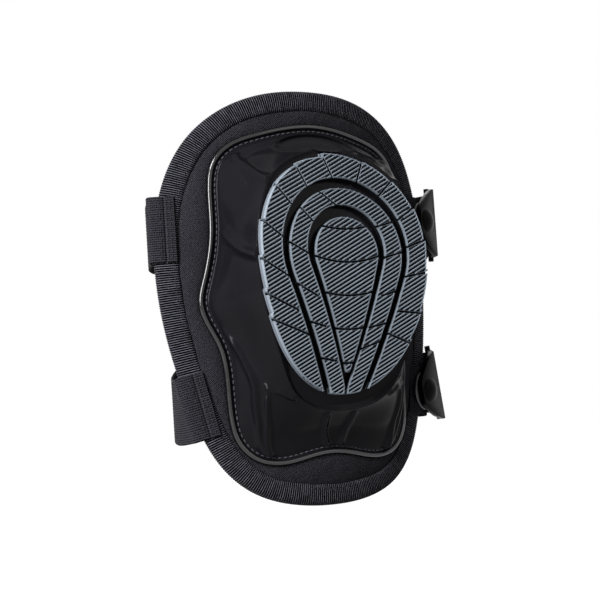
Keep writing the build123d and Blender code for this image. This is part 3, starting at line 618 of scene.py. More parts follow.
def stitch_template(length, width, height):
    """One stitch: a short thread with rounded ends, lying along X."""
    columns, rows = 6, 5
    verts, faces = [(-length / 2, 0, 0)], []
    for i in range(rows):
        t = (i + 0.5) / rows
        x = -length / 2 + length * (0.04 + 0.92 * t)
        r = math.sin(math.pi * (0.1 + 0.8 * t)) ** 0.45
        for j in range(columns):
            a = 2 * math.pi * j / columns
            verts.append((x, r * width / 2 * math.cos(a), r * height * math.sin(a)))
    verts.append((length / 2, 0, 0))
    last = 1 + (rows - 1) * columns
    for j in range(columns):
        k = (j + 1) % columns
        faces.append((0, 1 + j, 1 + k))
        faces.append((last + j, len(verts) - 1, last + k))
    for i in range(rows - 1):
        for j in range(columns):
            a, b = 1 + i * columns + j, 1 + i * columns + (j + 1) % columns
            faces.append((a, a + columns, b + columns, b))
    obj = new_object("stitch", verts, faces, material("thread"))
    make_outward(obj)
    return obj


def stitches(name, spots, slot, pitch, width, height, paint):
    """Stitches on the pad at spots of (place, along, outward)."""
    template = stitch_template(pitch * STITCH_PART, width, height)
    mesh = bpy.data.meshes.new(name)
    mesh.from_pydata([tuple(place) for place, _, _ in spots], [], [])
    for label, k in (("along", 1), ("outward", 2)):
        attribute = mesh.attributes.new(label, "FLOAT_VECTOR", "POINT")
        attribute.data.foreach_set("vector", np.array([s[k] for s in spots], float).ravel())
    seam = linked(name, mesh)
    run_tree(seam, repeat_tree, {"Template": template, "Material": material(paint)})
    seam.data.polygons.foreach_set("use_smooth", [True] * len(seam.data.polygons))
    discard(template)
    finish_piece(seam, "pad", slot)


def stitches_along(name, points, outward, slot, pitch, width, height, closed=True,
                   paint="thread"):
    """A row of stitches along a dense line; outward holds the surface direction at each point."""
    if closed:
        points, outward = np.vstack([points, points[:1]]), np.vstack([outward, outward[:1]])
    run = run_length(points)
    count = max(2, int(run[-1] / pitch))
    spots = []
    for k in range(count):
        at = (k + 0.5) * run[-1] / count
        ahead = sampled(points, run, min(at + 0.4 * MM, run[-1]))
        before = sampled(points, run, max(at - 0.4 * MM, 0))
        spots.append((sampled(points, run, at), ahead - before, sampled(outward, run, at)))
    stitches(name, spots, slot, pitch, width, height, paint)


def strip_stitches(name, centre, across, normal, rows, span, lift, slot):
    """Rows of stitches across a strip at distances along it."""
    pitch = 3.0 * MM
    run = run_length(centre)
    count = int(span / pitch)
    spots = []
    for at in rows:
        here, side, up = [sampled(line, run, at) for line in (centre, across, normal)]
        for k in range(count):
            spots.append((here + side * ((k + 0.5) / count - 0.5) * span + up * lift, side, up))
    stitches(name, spots, slot, pitch, 0.8 * MM, 0.4 * MM, "dark_thread")


# ------------------------------------------------------------------ sizes and colours
class KneePadSizes(bpy.types.PropertyGroup):
    rib_height: FloatProperty(name="Rib height", description="Height of the ribs on the cap",
                              default=0.0029, unit="LENGTH")
    rib_width: FloatProperty(name="Rib width", description="Half width of the ribs on the cap",
                             default=0.0029, unit="LENGTH")
    name_depth: FloatProperty(name="Name place depth", unit="LENGTH", default=0.0016,
                              description="Depth of the bare place above the tread")
    stitch_pitch: FloatProperty(name="Stitch pitch", unit="LENGTH", default=0.0034,
                                description="Length of one stitch and its gap")
    ridge_pitch: FloatProperty(name="Ridge pitch", unit="LENGTH", default=0.0021,
                               description="Distance between the fine ridges of the tread")
    ridge_height: FloatProperty(name="Ridge height", unit="LENGTH", default=0.0008,
                                description="Height of the fine ridges of the tread")
    ridge_angle: FloatProperty(name="Ridge angle", description="Slope of the fine ridges",
                               default=math.radians(27), subtype="ANGLE")
    cloth_puff: FloatProperty(name="Cloth puff", unit="LENGTH", default=0.0021,
                              description="Height of the front cloth between cap and binding")
    tape_ribs: IntProperty(name="Tape ribs", default=520, min=100,
                           description="Number of ribs woven across the binding")
    strap_crease: FloatProperty(name="Strap crease", unit="LENGTH", default=0.0013,
                                description="Depth of the crease at the sewn strap ends")
    strap_ribs: IntProperty(name="Strap ribs", default=18, min=4,
                            description="Number of ribs along the elastic webbing")


class KneePadColours(bpy.types.PropertyGroup):
    plastic: FloatVectorProperty(name="Plastic", description="Cap, clips and slides",
                                 subtype="COLOR", default=(0.0035, 0.0033, 0.0042), min=0, max=1)
    cloth: FloatVectorProperty(name="Cloth", description="Fabric, binding, straps and lining",
                               subtype="COLOR", default=(0.013, 0.0128, 0.0155), min=0, max=1)
    tread: FloatVectorProperty(name="Tread", description="Ridges of the rubber tread",
                               subtype="COLOR", default=(0.24, 0.275, 0.32), min=0, max=1)


# ------------------------------------------------------------------ moulded cap
CAP_COLUMNS = 600
CAP_WALL = 2.4 * MM
CAP_EDGE = [                # inset from the edge and height above the cloth, mm
    (0.0, 0.0), (0.0, 0.7), (0.12, 1.5), (0.4, 2.2), (0.8, 2.75), (1.3, 3.1), (1.8, 3.2),
    (2.3, 3.1), (2.8, 2.75), (3.2, 2.3), (3.5, 1.9), (3.9, 1.65), (4.5, 1.55), (5.1, 1.65),
    (5.5, 1.9), (5.8, 2.1)]
BEAD_ROWS = 8               # of the edge, from its foot over the bead
SEAM_INSET, SEAM_LIFT = 4.5 * MM, 1.72 * MM
FOOT_PART = 0.16            # of the way up, in which the wall bends out of the edge
# Ribs of the cap on its right half: a route in degrees round from the top and part of the way up
# the wall, the parts of the rib's width and height, and how much of each end fades out.
CAP_RIBS = [
    ([(35, 0.04), (38, 0.3), (42, 1.0)], 1.0, 1.0, (0.3, 0.0)),
    ([(64.2, 0.08), (73.2, 0.34), (83.8, 1.0)], 1.0, 1.0, (0.3, 0.0)),
    ([(116, 0.0), (130.5, 0.236), (142.8, 0.44), (151.5, 0.35), (158.8, 0.0)], 0.8, 0.8,
     (0.2, 0.0)),
    ([(146.5, 0.69), (154.5, 0.43), (160.2, 0.0)], 0.6, 0.7, (0.2, 0.0)),
    ([(173.5, 0.98), (175.8, 0.44), (177.6, 0.0)], 0.6, 0.7, (0.1, 0.0)),
    ([(144.2, 0.57), (151, 0.86), (158.5, 0.99)], 0.6, 0.7, (0.2, 0.2))]
NAME_PLACE = (92.3, 26.0, 6.2)          # height, half width and half height, mm
NAME_BOW = 3.4                          # its ends hang down by this times the square, per metre


def cap_rows(angles):
    """Grids of points of the cap: its edge with bead and stitch groove, and its dome."""
    edge = outline(CAP_HALF)
    rows = [on_pad(by_angle(grown(edge, -inset * MM), angles), CAP_BACK + height * MM)
            for inset, height in CAP_EDGE]
    foot = rows[-1]
    ring = np.linspace(0, 2 * math.pi, 721)[:-1]
    top = by_angle(tread_edge(ring, TREAD_LEDGE), angles)
    foot_reach = -SEAT_TO_MIDDLE - foot[:, 1]
    start = np.interp(foot_reach, RISE_REACH, RISE_PARTS)
    stop = np.interp(crown_reach(top[:, 1], TREAD_THICKNESS), RISE_REACH, RISE_PARTS)
    meet = start + FOOT_PART
    meet_reach = np.interp(meet, RISE_PARTS, RISE_REACH)
    meet_slope = (np.interp(meet + 0.01, RISE_PARTS, RISE_REACH) - meet_reach) / 0.01 * meet
    foot_slope = 1.25 * (meet_reach - foot_reach)
    dome = []
    for w in np.linspace(0, 1, 100)[1:] ** 1.15:
        part = stop * w
        x = foot[:, 0] + (top[:, 0] - foot[:, 0]) * part
        z = foot[:, 2] + (top[:, 1] - foot[:, 2]) * part
        wall = hermite(np.clip(part / meet, 0, 1), foot_reach, foot_slope, meet_reach, meet_slope)
        rise = np.interp(part, RISE_PARTS, RISE_REACH)
        dome.append(forward(x, z, np.where(part < meet, wall, rise)))
    return np.array(rows), np.array(dome)


def surface_normals(grid):
    """Outward directions of a grid closed along its columns."""
    along = np.roll(grid, -1, 1) - np.roll(grid, 1, 1)
    n = np.cross(along, np.gradient(grid, axis=0))
    n /= np.maximum(np.linalg.norm(n, axis=2), 1e-12)[:, :, None]
    behind = np.array([0, 0.1, 0.01])
    return -n if np.sum(n * (grid - behind)) < 0 else n


def eased_route(points, count=60):
    """Points along a route of corners, rounded by averaging neighbours."""
    p = np.asarray(points, float)
    route = sampled(p, np.linspace(0, 1, len(p)), np.linspace(0, 1, count))
    for _ in range(count // 10):
        route[1:-1] = (route[:-2] + 2 * route[1:-1] + route[2:]) / 4
    return route


def wall_point(dome, angle, part):
    """Point of the dome at degrees round from the top and part of the way up its wall."""
    rows, columns = dome.shape[:2]
    i, j = part * (rows - 1), (angle % 360) / 360 * columns
    i0, j0 = min(int(i), rows - 2), int(j) % columns
    a, b = [dome[i0, k] * (1 - (i - i0)) + dome[i0 + 1, k] * (i - i0)
            for k in (j0, (j0 + 1) % columns)]
    return a + (b - a) * (j - int(j))


def press(grid, normals, route, width, height, fade):
    """Moves that raise a soft rib along a line of points on a grid."""
    flat = grid.reshape(-1, 3)
    best, part = np.full(len(flat), 1e9), np.zeros(len(flat))
    last = len(route) - 1
    for i in range(last):
        a, ab = route[i], route[i + 1] - route[i]
        t = np.clip(((flat - a) @ ab) / max(ab @ ab, 1e-12), 0, 1)
        d = np.linalg.norm(flat - (a + t[:, None] * ab), axis=1)
        near = d < best
        best[near] = d[near]
        part[near] = (i + t[near]) / last
    lift = height * np.exp(-(best / width) ** 2)
    for way, reach in zip((part, 1 - part), fade):
        if reach > 0:
            lift *= smoothstep(way / reach)
    return lift.reshape(grid.shape[:2])[:, :, None] * normals


class KNEEPAD_OT_cap(bpy.types.Operator):
    """Moulded cap with its edge bead, stitch groove, ribs and bare name place"""
    bl_idname = "kneepad.cap"
    bl_label = "Moulded cap"

    def execute(self, context):
        sizes = context.scene.knee_pad_sizes
        angles = np.linspace(0, 2 * math.pi, CAP_COLUMNS, endpoint=False)
        edge_rows, dome = cap_rows(angles)
        normals = surface_normals(dome)
        face = dome.copy()
        for corners, wide, high, fade in CAP_RIBS:
            for side in (1, -1):
                route = eased_route([(side * angle, part) for angle, part in corners])
                line = np.array([wall_point(dome, angle, part) for angle, part in route])
                face += press(dome, normals, line, sizes.rib_width * wide,
                              sizes.rib_height * high, fade)
        level = self.name_level(dome)
        sink = -sizes.name_depth * smoothstep((level + 0.02) / 0.14)
        rim = sizes.name_depth * 0.55 * np.exp(-((level + 0.07) / 0.06) ** 2)
        face += (sink + rim)[:, :, None] * normals

        last = dome[-1]

        def crown(part, depth=TREAD_THICKNESS):
            """Part of the way out under the tread, at a depth below the kneeling face."""
            z = TREAD_CENTRE + (last[:, 2] - TREAD_CENTRE) * part
            return forward(last[:, 0] * part, z, crown_reach(z, depth))

        rows = [*edge_rows, *face]
        rows += [crown(part) for part in (0.985, 0.93, 0.8, 0.6, 0.4, 0.2, 0.07)]
        edge = outline(CAP_HALF)
        inner = dome - normals * CAP_WALL
        back = [on_pad(by_angle(grown(edge, -inset * MM), angles), CAP_BACK)
                for inset in (2.5, 8.0)]
        back += [inner[k] for k in (20, 40, 60, 80)]
        back.append(crown(0.6, TREAD_THICKNESS + CAP_WALL))
        self.solid(np.array(back[::-1] + rows), len(back), len(edge_rows), level)

        seat = on_pad(grown(outline(CAP_HALF, 900), -SEAM_INSET), CAP_BACK + SEAM_LIFT)
        stitches_along("cap_stitches", seat, from_axis(seat), "webbing", sizes.stitch_pitch,
                       0.9 * MM, 0.45 * MM)
        return {"FINISHED"}

    def name_level(self, dome):
        """How far inside the oval name place each point is, below nought outside."""
        height, half_wide, half_high = (value * MM for value in NAME_PLACE)
        x, z = dome[:, :, 0], dome[:, :, 2]
        middle = height - NAME_BOW * x ** 2
        level = 1 - np.sqrt((x / half_wide) ** 2 + ((z - middle) / half_high) ** 2)
        return np.where(z > 0.07, level, -9)

    def solid(self, grid, back_rows, edge_rows, level):
        """Closes the grid with a point at each end and paints bead and name place."""
        count, columns = grid.shape[:2]
        ends = [forward(0.0, TREAD_CENTRE, crown_reach(TREAD_CENTRE, depth))
                for depth in (TREAD_THICKNESS + CAP_WALL, TREAD_THICKNESS)]
        verts = np.vstack([grid.reshape(-1, 3), ends])
        faces = grid_faces(count, columns)
        centre, top = count * columns, (count - 1) * columns
        for j in range(columns):
            k = (j + 1) % columns
            faces += [(centre, k, j), (centre + 1, top + j, top + k)]
        marks = np.zeros(len(faces), int)
        inside = level > 0.05
        first = (back_rows + edge_rows) * columns
        hits = (inside[:-1] & inside[1:]).ravel()
        marks[first:first + len(hits)][hits] = 1
        marks[back_rows * columns:(back_rows + BEAD_ROWS) * columns] = 2
        cap = new_object("moulded_cap", verts, faces, [
            material("cap_gloss"), material("recess_matt"), material("rim_gloss")], paint_of=marks)
        make_outward(cap)
        finish_piece(cap, "pad", "cap_plastic", "cap_shell")


# ------------------------------------------------------------------ tread, in mm
# Slits of the outer ring, clockwise from low on the left: the angle at the edge and the angle
# at the ring's inner side, in degrees, then how far the block before the slit and the block
# after it stand out.
OUTER_SLITS = [(-115, -143, 1.5, 0.6), (-105, -124, 1.5, 0.4), (-92, -104, 1.2, 0.2),
               (-72, -81, 0.9, -0.2), (-48, -53, 0.3, 0.5), (-28, -31, -0.2, 0.8),
               (-8, -4, -0.6, 1.5), (21, 18, 0.0, 0.6), (43, 40, -0.3, 0.6), (63, 65, -0.3, 0.8),
               (83, 88, -0.3, 0.8), (98, 105, -0.3, 0.8), (115, 126, -0.3, 0.8),
               (129, 142, -0.3, 0.8)]
SLIT_REACH = (1.08, 0.74)               # of the way to the edge, outer and inner end
MIDDLE_SLITS = [
    [(-16, 62), (-4, 52.5), (8, 50)], [(-29, 52), (-20, 42)], [(-40, 32), (-24, 23.5)],
    [(-37, 9), (-21, 0.5)], [(-33, -12), (-16, -16.5)], [(-24, -33), (-8, -36)],
    [(18, 39), (33, 43)], [(25, 22), (41, 26)], [(22, 0), (38, 4)], [(13, -18), (31, -14.5)],
    [(4, -31), (21, -26)]]
ARC_RADIUS, ARC_PITCH, ARC_FIRST, ARCS = 68.0, 19.0, -37.5, 6     # slits of the core
# Teardrops between the zones: radius, height of its centre, slope of its sides in degrees and
# radius of its tip.
OUTER_HOLE = (42.2, 26.5, 21.0, 12.0)
MIDDLE_EDGE = (37.6, 25.0, 21.0, 6.0)
MIDDLE_HOLE = (26.0, 26.5, 19.0, 0.9)
CORE_EDGE = (21.1, 24.5, 17.0, 2.0)
SPLIT_TOP, SPLIT_HALF = 11.5, 0.9       # the middle ring is split below its hole
SLIT_HALF = 0.6
SLIT_DEPTH = 1.8
EDGE_RIM = [(0.0, -0.9), (0.12, 0.3), (0.35, 0.8), (0.7, 0.8), (0.95, -0.1)]   # in, up
SLIT_RIM = [(0.0, 0.0), (0.05, 0.2), (0.12, 0.35), (0.22, 0.35), (0.32, -0.1)]
FAR = 99.0
# The second tread paint is painted shade: the rubber made nearly black between the ridges, on the
# slit floors and on walls inside the grooves.
BODY, PAINTED_SHADE, RIDGE = 0, 1, 2           # paints of the tread


def teardrop(x, z, radius, centre, slope, tip):
    """Signed distance to a round top closed by two straight sides to a round tip."""
    drop = (radius - tip) / math.sin(math.radians(slope))
    px, pz = np.abs(x), z - (centre - drop)
    b = (tip - radius) / drop
    a = math.sqrt(1 - b * b)
    k = -b * px + a * pz
    side = a * px + b * pz - tip
    low = np.hypot(px, pz) - tip
    high = np.hypot(px, pz - drop) - radius
    return np.where(k < 0, low, np.where(k > a * drop, high, side))


def beside(x, z, points):
    """Distance to an open line through the given points."""
    nearest = np.full(np.shape(x), FAR)
    for (x0, z0), (x1, z1) in zip(points, points[1:]):
        dx, dz = x1 - x0, z1 - z0
        t = np.clip(((x - x0) * dx + (z - z0) * dz) / (dx * dx + dz * dz), 0, 1)
        nearest = np.minimum(nearest, np.hypot(x - x0 - t * dx, z - z0 - t * dz))
    return nearest


def on_egg(x, z):
    """Turn from the top in degrees, and part of the way from the tread's centre to its edge."""
    wide, tall, low, centre = TREAD_MM
    across, up = x / wide, (z - centre) / np.where(z > centre, tall, low)
    return np.degrees(np.arctan2(across, up)), np.hypot(across, up)


def outer_slit(angles):
    """Straight slit of the outer ring from just outside its edge to just inside the ring."""
    wide, tall, low, centre = TREAD_MM
    ends = []
    for angle, part in zip(angles, SLIT_REACH):
        a = math.radians(angle)
        up = tall if math.cos(a) > 0 else low
        ends.append((wide * part * math.sin(a), centre + up * part * math.cos(a)))
    return ends


def tread_zones(x, z):
    """Distances inside the three rubber zones, without and with their slits."""
    turn, way_out = on_egg(x, z)
    at = [-180.0] + [row[0] + gap for row in OUTER_SLITS for gap in (-0.01, 0.01)] + [180.0]
    out = [0.0] + [step for row in OUTER_SLITS for step in row[2:]] + [0.0]
    egg = (1 - way_out) * 54.0 + np.interp(turn, at, out)
    split = np.where(z < SPLIT_TOP, np.abs(x) - SPLIT_HALF, FAR)
    ring = np.minimum.reduce([beside(x, z, outer_slit(row[:2])) for row in OUTER_SLITS])
    band = np.minimum.reduce([beside(x, z, line) for line in MIDDLE_SLITS])
    smile = np.full(np.shape(x), FAR)
    for k in range(ARCS):
        centre = ARC_FIRST + ARC_PITCH * k + ARC_RADIUS
        away = np.abs(np.hypot(x, z - centre) - ARC_RADIUS)
        smile = np.minimum(smile, np.where(z < centre, away, FAR))
    middle = np.minimum.reduce([egg, -teardrop(x, z, *MIDDLE_EDGE), teardrop(x, z, *MIDDLE_HOLE),
                                split])
    shapes = {"outer": (np.minimum(egg, teardrop(x, z, *OUTER_HOLE)), ring),
              "middle": (middle, band),
              "core": (-teardrop(x, z, *CORE_EDGE), smile)}
    return {zone: (shape, np.minimum(shape, slit - SLIT_HALF))
            for zone, (shape, slit) in shapes.items()}


def on_crown(x, z, lift):
    """Places of points given in mm, at heights in mm over the kneeling face."""
    return forward(x * MM, z * MM, crown_reach(z * MM) + lift * MM)


class KNEEPAD_OT_tread(bpy.types.Operator):
    """Rubber tread: three zones of blocks with raised rims and fine slanting ridges"""
    bl_idname = "kneepad.tread"
    bl_label = "Ridged tread"

    def execute(self, context):
        for zone in ("outer", "middle", "core"):
            node = "tread_" + zone
            finish_piece(self.blocks(zone, node + "_rubber"), "pad", "tread_rubber", node)
        self.ridges(context.scene.knee_pad_sizes)
        return {"FINISHED"}

    def blocks(self, zone, name):
        """One zone: a web of rubber that holds the blocks, and on it the blocks with rims."""
        verts, faces, paints = self.layer(zone, False, 1.2, SLIT_DEPTH, TREAD_THICKNESS / MM)
        more, others, colours = self.layer(zone, True, 0.6, 0.0, SLIT_DEPTH + 0.05)
        faces = faces + [[v + len(verts) for v in face] for face in others]
        piece = new_object(name, np.vstack([verts, more]), faces, [
            material("tread_body"), material("tread_painted_shade"), material("tread_ridge")],
            paint_of=paints + colours)
        sharpen(piece, 32)
        return piece

    def layer(self, zone, slit, step, top_depth, low_depth):
        """Sheet between two depths, with walls; with its slits it has rims too."""
        def inside(px, pz):
            return tread_zones(px, pz)[zone][int(slit)]

        def uphill(px, pz, h=0.12):
            way = np.stack([inside(px + h, pz) - inside(px - h, pz),
                            inside(px, pz + h) - inside(px, pz - h)], -1) / (2 * h)
            return way / np.maximum(np.linalg.norm(way, axis=-1), 0.3)[:, None]

        x, z, faces = self.sheet(inside, uphill, step)
        count = len(x)
        half = np.vstack([faces[:, [0, 1]], faces[:, [1, 2]], faces[:, [2, 0]]]).tolist()
        known = set(map(tuple, half))
        edges = [e for e in half if (e[1], e[0]) not in known]
        border = np.unique(np.array(edges))
        slot = np.full(count, -1)
        slot[border] = np.arange(len(border))
        way = uphill(x[border], z[border])
        shape, whole = tread_zones(x[border], z[border])[zone]
        free = shape - whole < 0.06
        drop = np.full(count, top_depth)
        if slit:
            drop[border] += np.where(free, 0.9, 0.0)
        rows = [on_crown(x, z, -drop), on_crown(x, z, -low_depth)]
        if slit:
            for (inset, height), (slit_inset, slit_height) in zip(EDGE_RIM, SLIT_RIM):
                inset = np.where(free, inset, slit_inset)
                rows.append(on_crown(x[border] + way[:, 0] * inset, z[border] + way[:, 1] * inset,
                                     np.where(free, height, slit_height)))
        else:
            rows.append(rows[0][border])
        firsts = [2 * count + k * len(border) for k in range(len(rows) - 2)]
        everything = faces.tolist() + (faces[:, ::-1] + count).tolist()
        # Sheet faces, between the ridges and at the slit floors, get the painted shade; walls away
        # from the outer edge get it too.
        paints = [PAINTED_SHADE] * (2 * len(faces))
        outside = on_egg(x, z)[1] > 0.965
        for a, b in edges:
            i, j = int(slot[a]), int(slot[b])
            rim = outside[a] and outside[b]
            everything.append([firsts[0] + i, a + count, b + count, firsts[0] + j])
            paints.append(BODY if rim else PAINTED_SHADE)
            for one, two in zip(firsts, firsts[1:]):
                everything.append([one + i, one + j, two + j, two + i])
                paints.append(RIDGE if rim and free[i] and free[j] else BODY)
        return np.vstack(rows), everything, paints

    def sheet(self, inside, uphill, step):
        """Triangles of a square grid inside a shape, with its border points moved onto it."""
        xs, zs = np.arange(-57.6, 57.9, step), np.arange(-57.0, 85.0, step)
        x, z = [side.ravel() for side in np.meshgrid(xs, zs, indexing="ij")]
        near = np.flatnonzero(np.abs(inside(x, z)) < 0.52 * step)
        for _ in range(3):
            way = uphill(x[near], z[near])
            off = np.clip(inside(x[near], z[near]), -0.5 * step, 0.5 * step)
            x[near] -= way[:, 0] * off
            z[near] -= way[:, 1] * off
        d = inside(x, z)
        on = np.zeros(len(x), bool)
        on[near] = np.abs(d[near]) < 0.08
        keep = on | (d > 0)
        index = np.arange(len(x)).reshape(len(xs), len(zs))
        p, q = index[:-1, :-1].ravel(), index[1:, :-1].ravel()
        r, s = index[1:, 1:].ravel(), index[:-1, 1:].ravel()
        cross = ((on[q] & on[s] & ~(on[p] & on[r])) | ~keep[p] | ~keep[r])[:, None]
        faces = np.vstack([np.where(cross, np.stack([p, q, s], 1), np.stack([p, q, r], 1)),
                           np.where(cross, np.stack([q, r, s], 1), np.stack([p, r, s], 1))])
        middle = inside(x[faces].mean(1), z[faces].mean(1))
        a, b, c = faces.T
        area = (x[b] - x[a]) * (z[c] - z[a]) - (z[b] - z[a]) * (x[c] - x[a])
        faces = faces[keep[faces].all(1) & (middle > 0.0) & (area > 0.002)]
        used, faces = np.unique(faces, return_inverse=True)
        return x[used], z[used], faces.reshape(-1, 3)

    def ridges(self, sizes):
        """Lines at the ridges' slope, cut to the blocks and swept to bars."""
        c, s = math.cos(sizes.ridge_angle), math.sin(sizes.ridge_angle)
        step, shortest, piece_length = 0.2, 0.7, 3.0
        verts, edges = [], []
        run = np.arange(-110, 110, step)
        for k in range(-60, 61):
            off = k * sizes.ridge_pitch / MM
            x, z = c * run - s * off, 20.0 + s * run + c * off
            for shape, whole in tread_zones(x, z).values():
                inside = (shape > 0.3) & (whole > 0.25)
                turns = np.diff(np.concatenate([[False], inside, [False]]).astype(int))
                ends = np.flatnonzero(turns)
                for a, b in zip(ends[::2], ends[1::2]):
                    if (b - a) * step < shortest:
                        continue
                    pieces = max(1, int((b - 1 - a) * step / piece_length))
                    at = np.linspace(a, b - 1, pieces + 1)
                    px, pz = [np.interp(at, np.arange(len(run)), side) for side in (x, z)]
                    first = len(verts)
                    verts.extend(on_crown(px, pz, sizes.ridge_height / MM / 2 - 0.12).tolist())
                    edges.extend((first + i, first + i + 1) for i in range(pieces))
        mesh = bpy.data.meshes.new("tread_ridges")
        mesh.from_pydata(verts, edges, [])
        ridges = linked("tread_ridges", mesh)
        run_tree(ridges, ridge_tree, {
            "Foot width": 1.45 * MM, "Top width": 0.7 * MM, "Height": sizes.ridge_height,
            "Material": material("tread_ridge")})
        make_outward(ridges)
        finish_piece(ridges, "pad", "tread_rubber")


# ------------------------------------------------------------------ copies of CAD nodes
def node_copy(node, name, paint):
    """Merged copy of a CAD node's mesh as a new object at the origin."""
    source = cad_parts[node]
    mesh = source.data.copy()
    mesh.name = name
    mesh.transform(source.matrix_world)
    mesh.materials.clear()
    mesh.materials.append(paint)
    edit_mesh(mesh, lambda bm: bmesh.ops.remove_doubles(bm, verts=bm.verts, dist=2e-6))
    return linked(name, mesh)


def finished_copy(node, name, paint, bevel, angle=35):
    """Copy of a CAD node with its sharp edges eased."""
    obj = node_copy(node, name, paint)
    edit_mesh(obj.data, lambda bm: bmesh.ops.dissolve_limit(
        bm, angle_limit=math.radians(2.0), verts=bm.verts, edges=bm.edges,
        delimit={"MATERIAL"}))
    ease = obj.modifiers.new("ease", "BEVEL")
    ease.width = bevel
    ease.segments = 2
    ease.limit_method = "ANGLE"
    ease.angle_limit = math.radians(angle)
    ease.use_clamp_overlap = True
    ease.harden_normals = False
    apply_modifiers(obj)
    sharpen(obj, 40)
    return obj


# ------------------------------------------------------------------ soft body
def polar_body(name, rows, paint):
    """Closed solid from rows that run from the middle outwards and back to the middle."""
    grid = np.array(rows)
    count, columns = grid.shape[:2]
    verts = grid.reshape(-1, 3)
    faces = grid_faces(count, columns)
    for row, flip in ((0, False), (count - 1, True)):
        middle = grid[row].mean(0)
        middle[1] = grid[row, :, 1].min()
        m = len(verts)
        verts = np.vstack([verts, middle])
        for j in range(columns):
            a, b = row * columns + j, row * columns + (j + 1) % columns
            faces.append((m, a, b) if flip else (m, b, a))
    turn = np.arctan2(verts[:, 0], AXIS_Y - verts[:, 1])
    flat = np.stack([turn * BEND_RADIUS, verts[:, 2]], 1)
    obj = new_object(name, verts, faces, material(paint), uvs=flat)
    make_outward(obj)
    return obj


def wavy(points, size, amount, seed):
    """Small soft unevenness for each point, in metres."""
    shift = Vector((seed, seed * 1.7, 0))
    return np.array([noise.noise(Vector(p) / size + shift) for p in points]) * amount


class KNEEPAD_OT_cloth(bpy.types.Operator):
    """Front cloth puffed between the cap and the binding, and the brushed lining behind"""
    bl_idname = "kneepad.cloth"
    bl_label = "Cloth and lining"

    def execute(self, context):
        angles = np.linspace(0, 2 * math.pi, 540, endpoint=False)
        pad = outline(PAD_HALF)
        hem = by_angle(grown(pad, -2.2 * MM), angles)
        self.front(by_angle(grown(outline(CAP_HALF), -1.0 * MM), angles),
                   by_angle(grown(pad, -11.2 * MM), angles), hem,
                   context.scene.knee_pad_sizes.cloth_puff)
        self.lining(hem)
        return {"FINISHED"}

    def front(self, rim, seam, hem, puff):
        """Cloth flat under the cap, puffed from its rim to the seam, and in under the binding."""
        rows = [on_pad(drawn_in(rim, part), CLOTH_FRONT) for part in (0.06, 0.3, 0.6, 0.85, 0.96)]
        gap = np.linalg.norm(seam - rim, axis=1)
        puff = puff * np.clip(gap / (14 * MM), 0.35, 1.15)
        for t in np.linspace(0, 1, 30):
            flat = rim + (seam - rim) * t
            bulge = puff * (np.sin(math.pi * t ** 0.8) ** 0.6 if 0 < t < 1 else 0.0)
            place = on_pad(flat, CLOTH_FRONT)
            uneven = wavy(place, 0.020, 0.0007, 3.1) + wavy(place, 0.006, 0.00022, 8.4)
            rows.append(on_pad(flat, CLOTH_FRONT + bulge + uneven * math.sin(math.pi * t) ** 0.5))
        rows.append(on_pad(hem, CLOTH_FRONT - 0.1 * MM))
        rows += [on_pad(drawn_in(hem, part), CLOTH_BACK) for part in (1.0, 0.8, 0.4, 0.06)]
        cloth = polar_body("front_cloth", rows, "oxford_cloth")
        finish_piece(cloth, "pad", "oxford_cloth", "front_fabric", "foam_core", "impact_foam")

    def lining(self, hem):
        """Brushed cloth from behind the foam, puffed a little inside its hem."""
        rows = [on_pad(drawn_in(hem, part), LINING_FRONT) for part in (0.06, 0.5, 1.0)]
        reach = np.linalg.norm(hem - np.array([0, DOME_CENTRE]), axis=1)
        for t in np.linspace(0, 1, 26):
            flat = drawn_in(hem, 1 - 0.97 * t)
            bulge = 1.3 * MM * smoothstep((t * reach - 7 * MM) / (7 * MM))
            uneven = wavy(on_pad(flat, LINING_BACK), 0.018, 0.0006, 5.5) * min(1.0, 6 * t)
            rows.append(on_pad(flat, LINING_BACK - bulge + uneven))
        lining = polar_body("brushed_lining", rows, "lining")
        finish_piece(lining, "pad", "lining_cloth", "back_lining")


CUSHION_HALF_WIDTH, CUSHION_HALF_HEIGHT = 51.4 * MM, 71.4 * MM
CUSHION_THICK = 8.6 * MM
CUSHION_SEAT = LINING_BACK - 1.25 * MM
CHANNELS = (-34 * MM, 0.0, 34 * MM)      # heights of the stitched channels
CUSHION_PITCH = 3.2 * MM                # of its stitches


def cushion_crown(t):
    """Height of the cushion part of the way out to its edge."""
    return CUSHION_THICK * np.maximum(0.0, 1 - t ** 3.2) ** 0.55


def channel_depth(high):
    """Depth of a stitched channel where the cushion is so high."""
    return np.minimum(high * 0.75, 4.4 * MM)


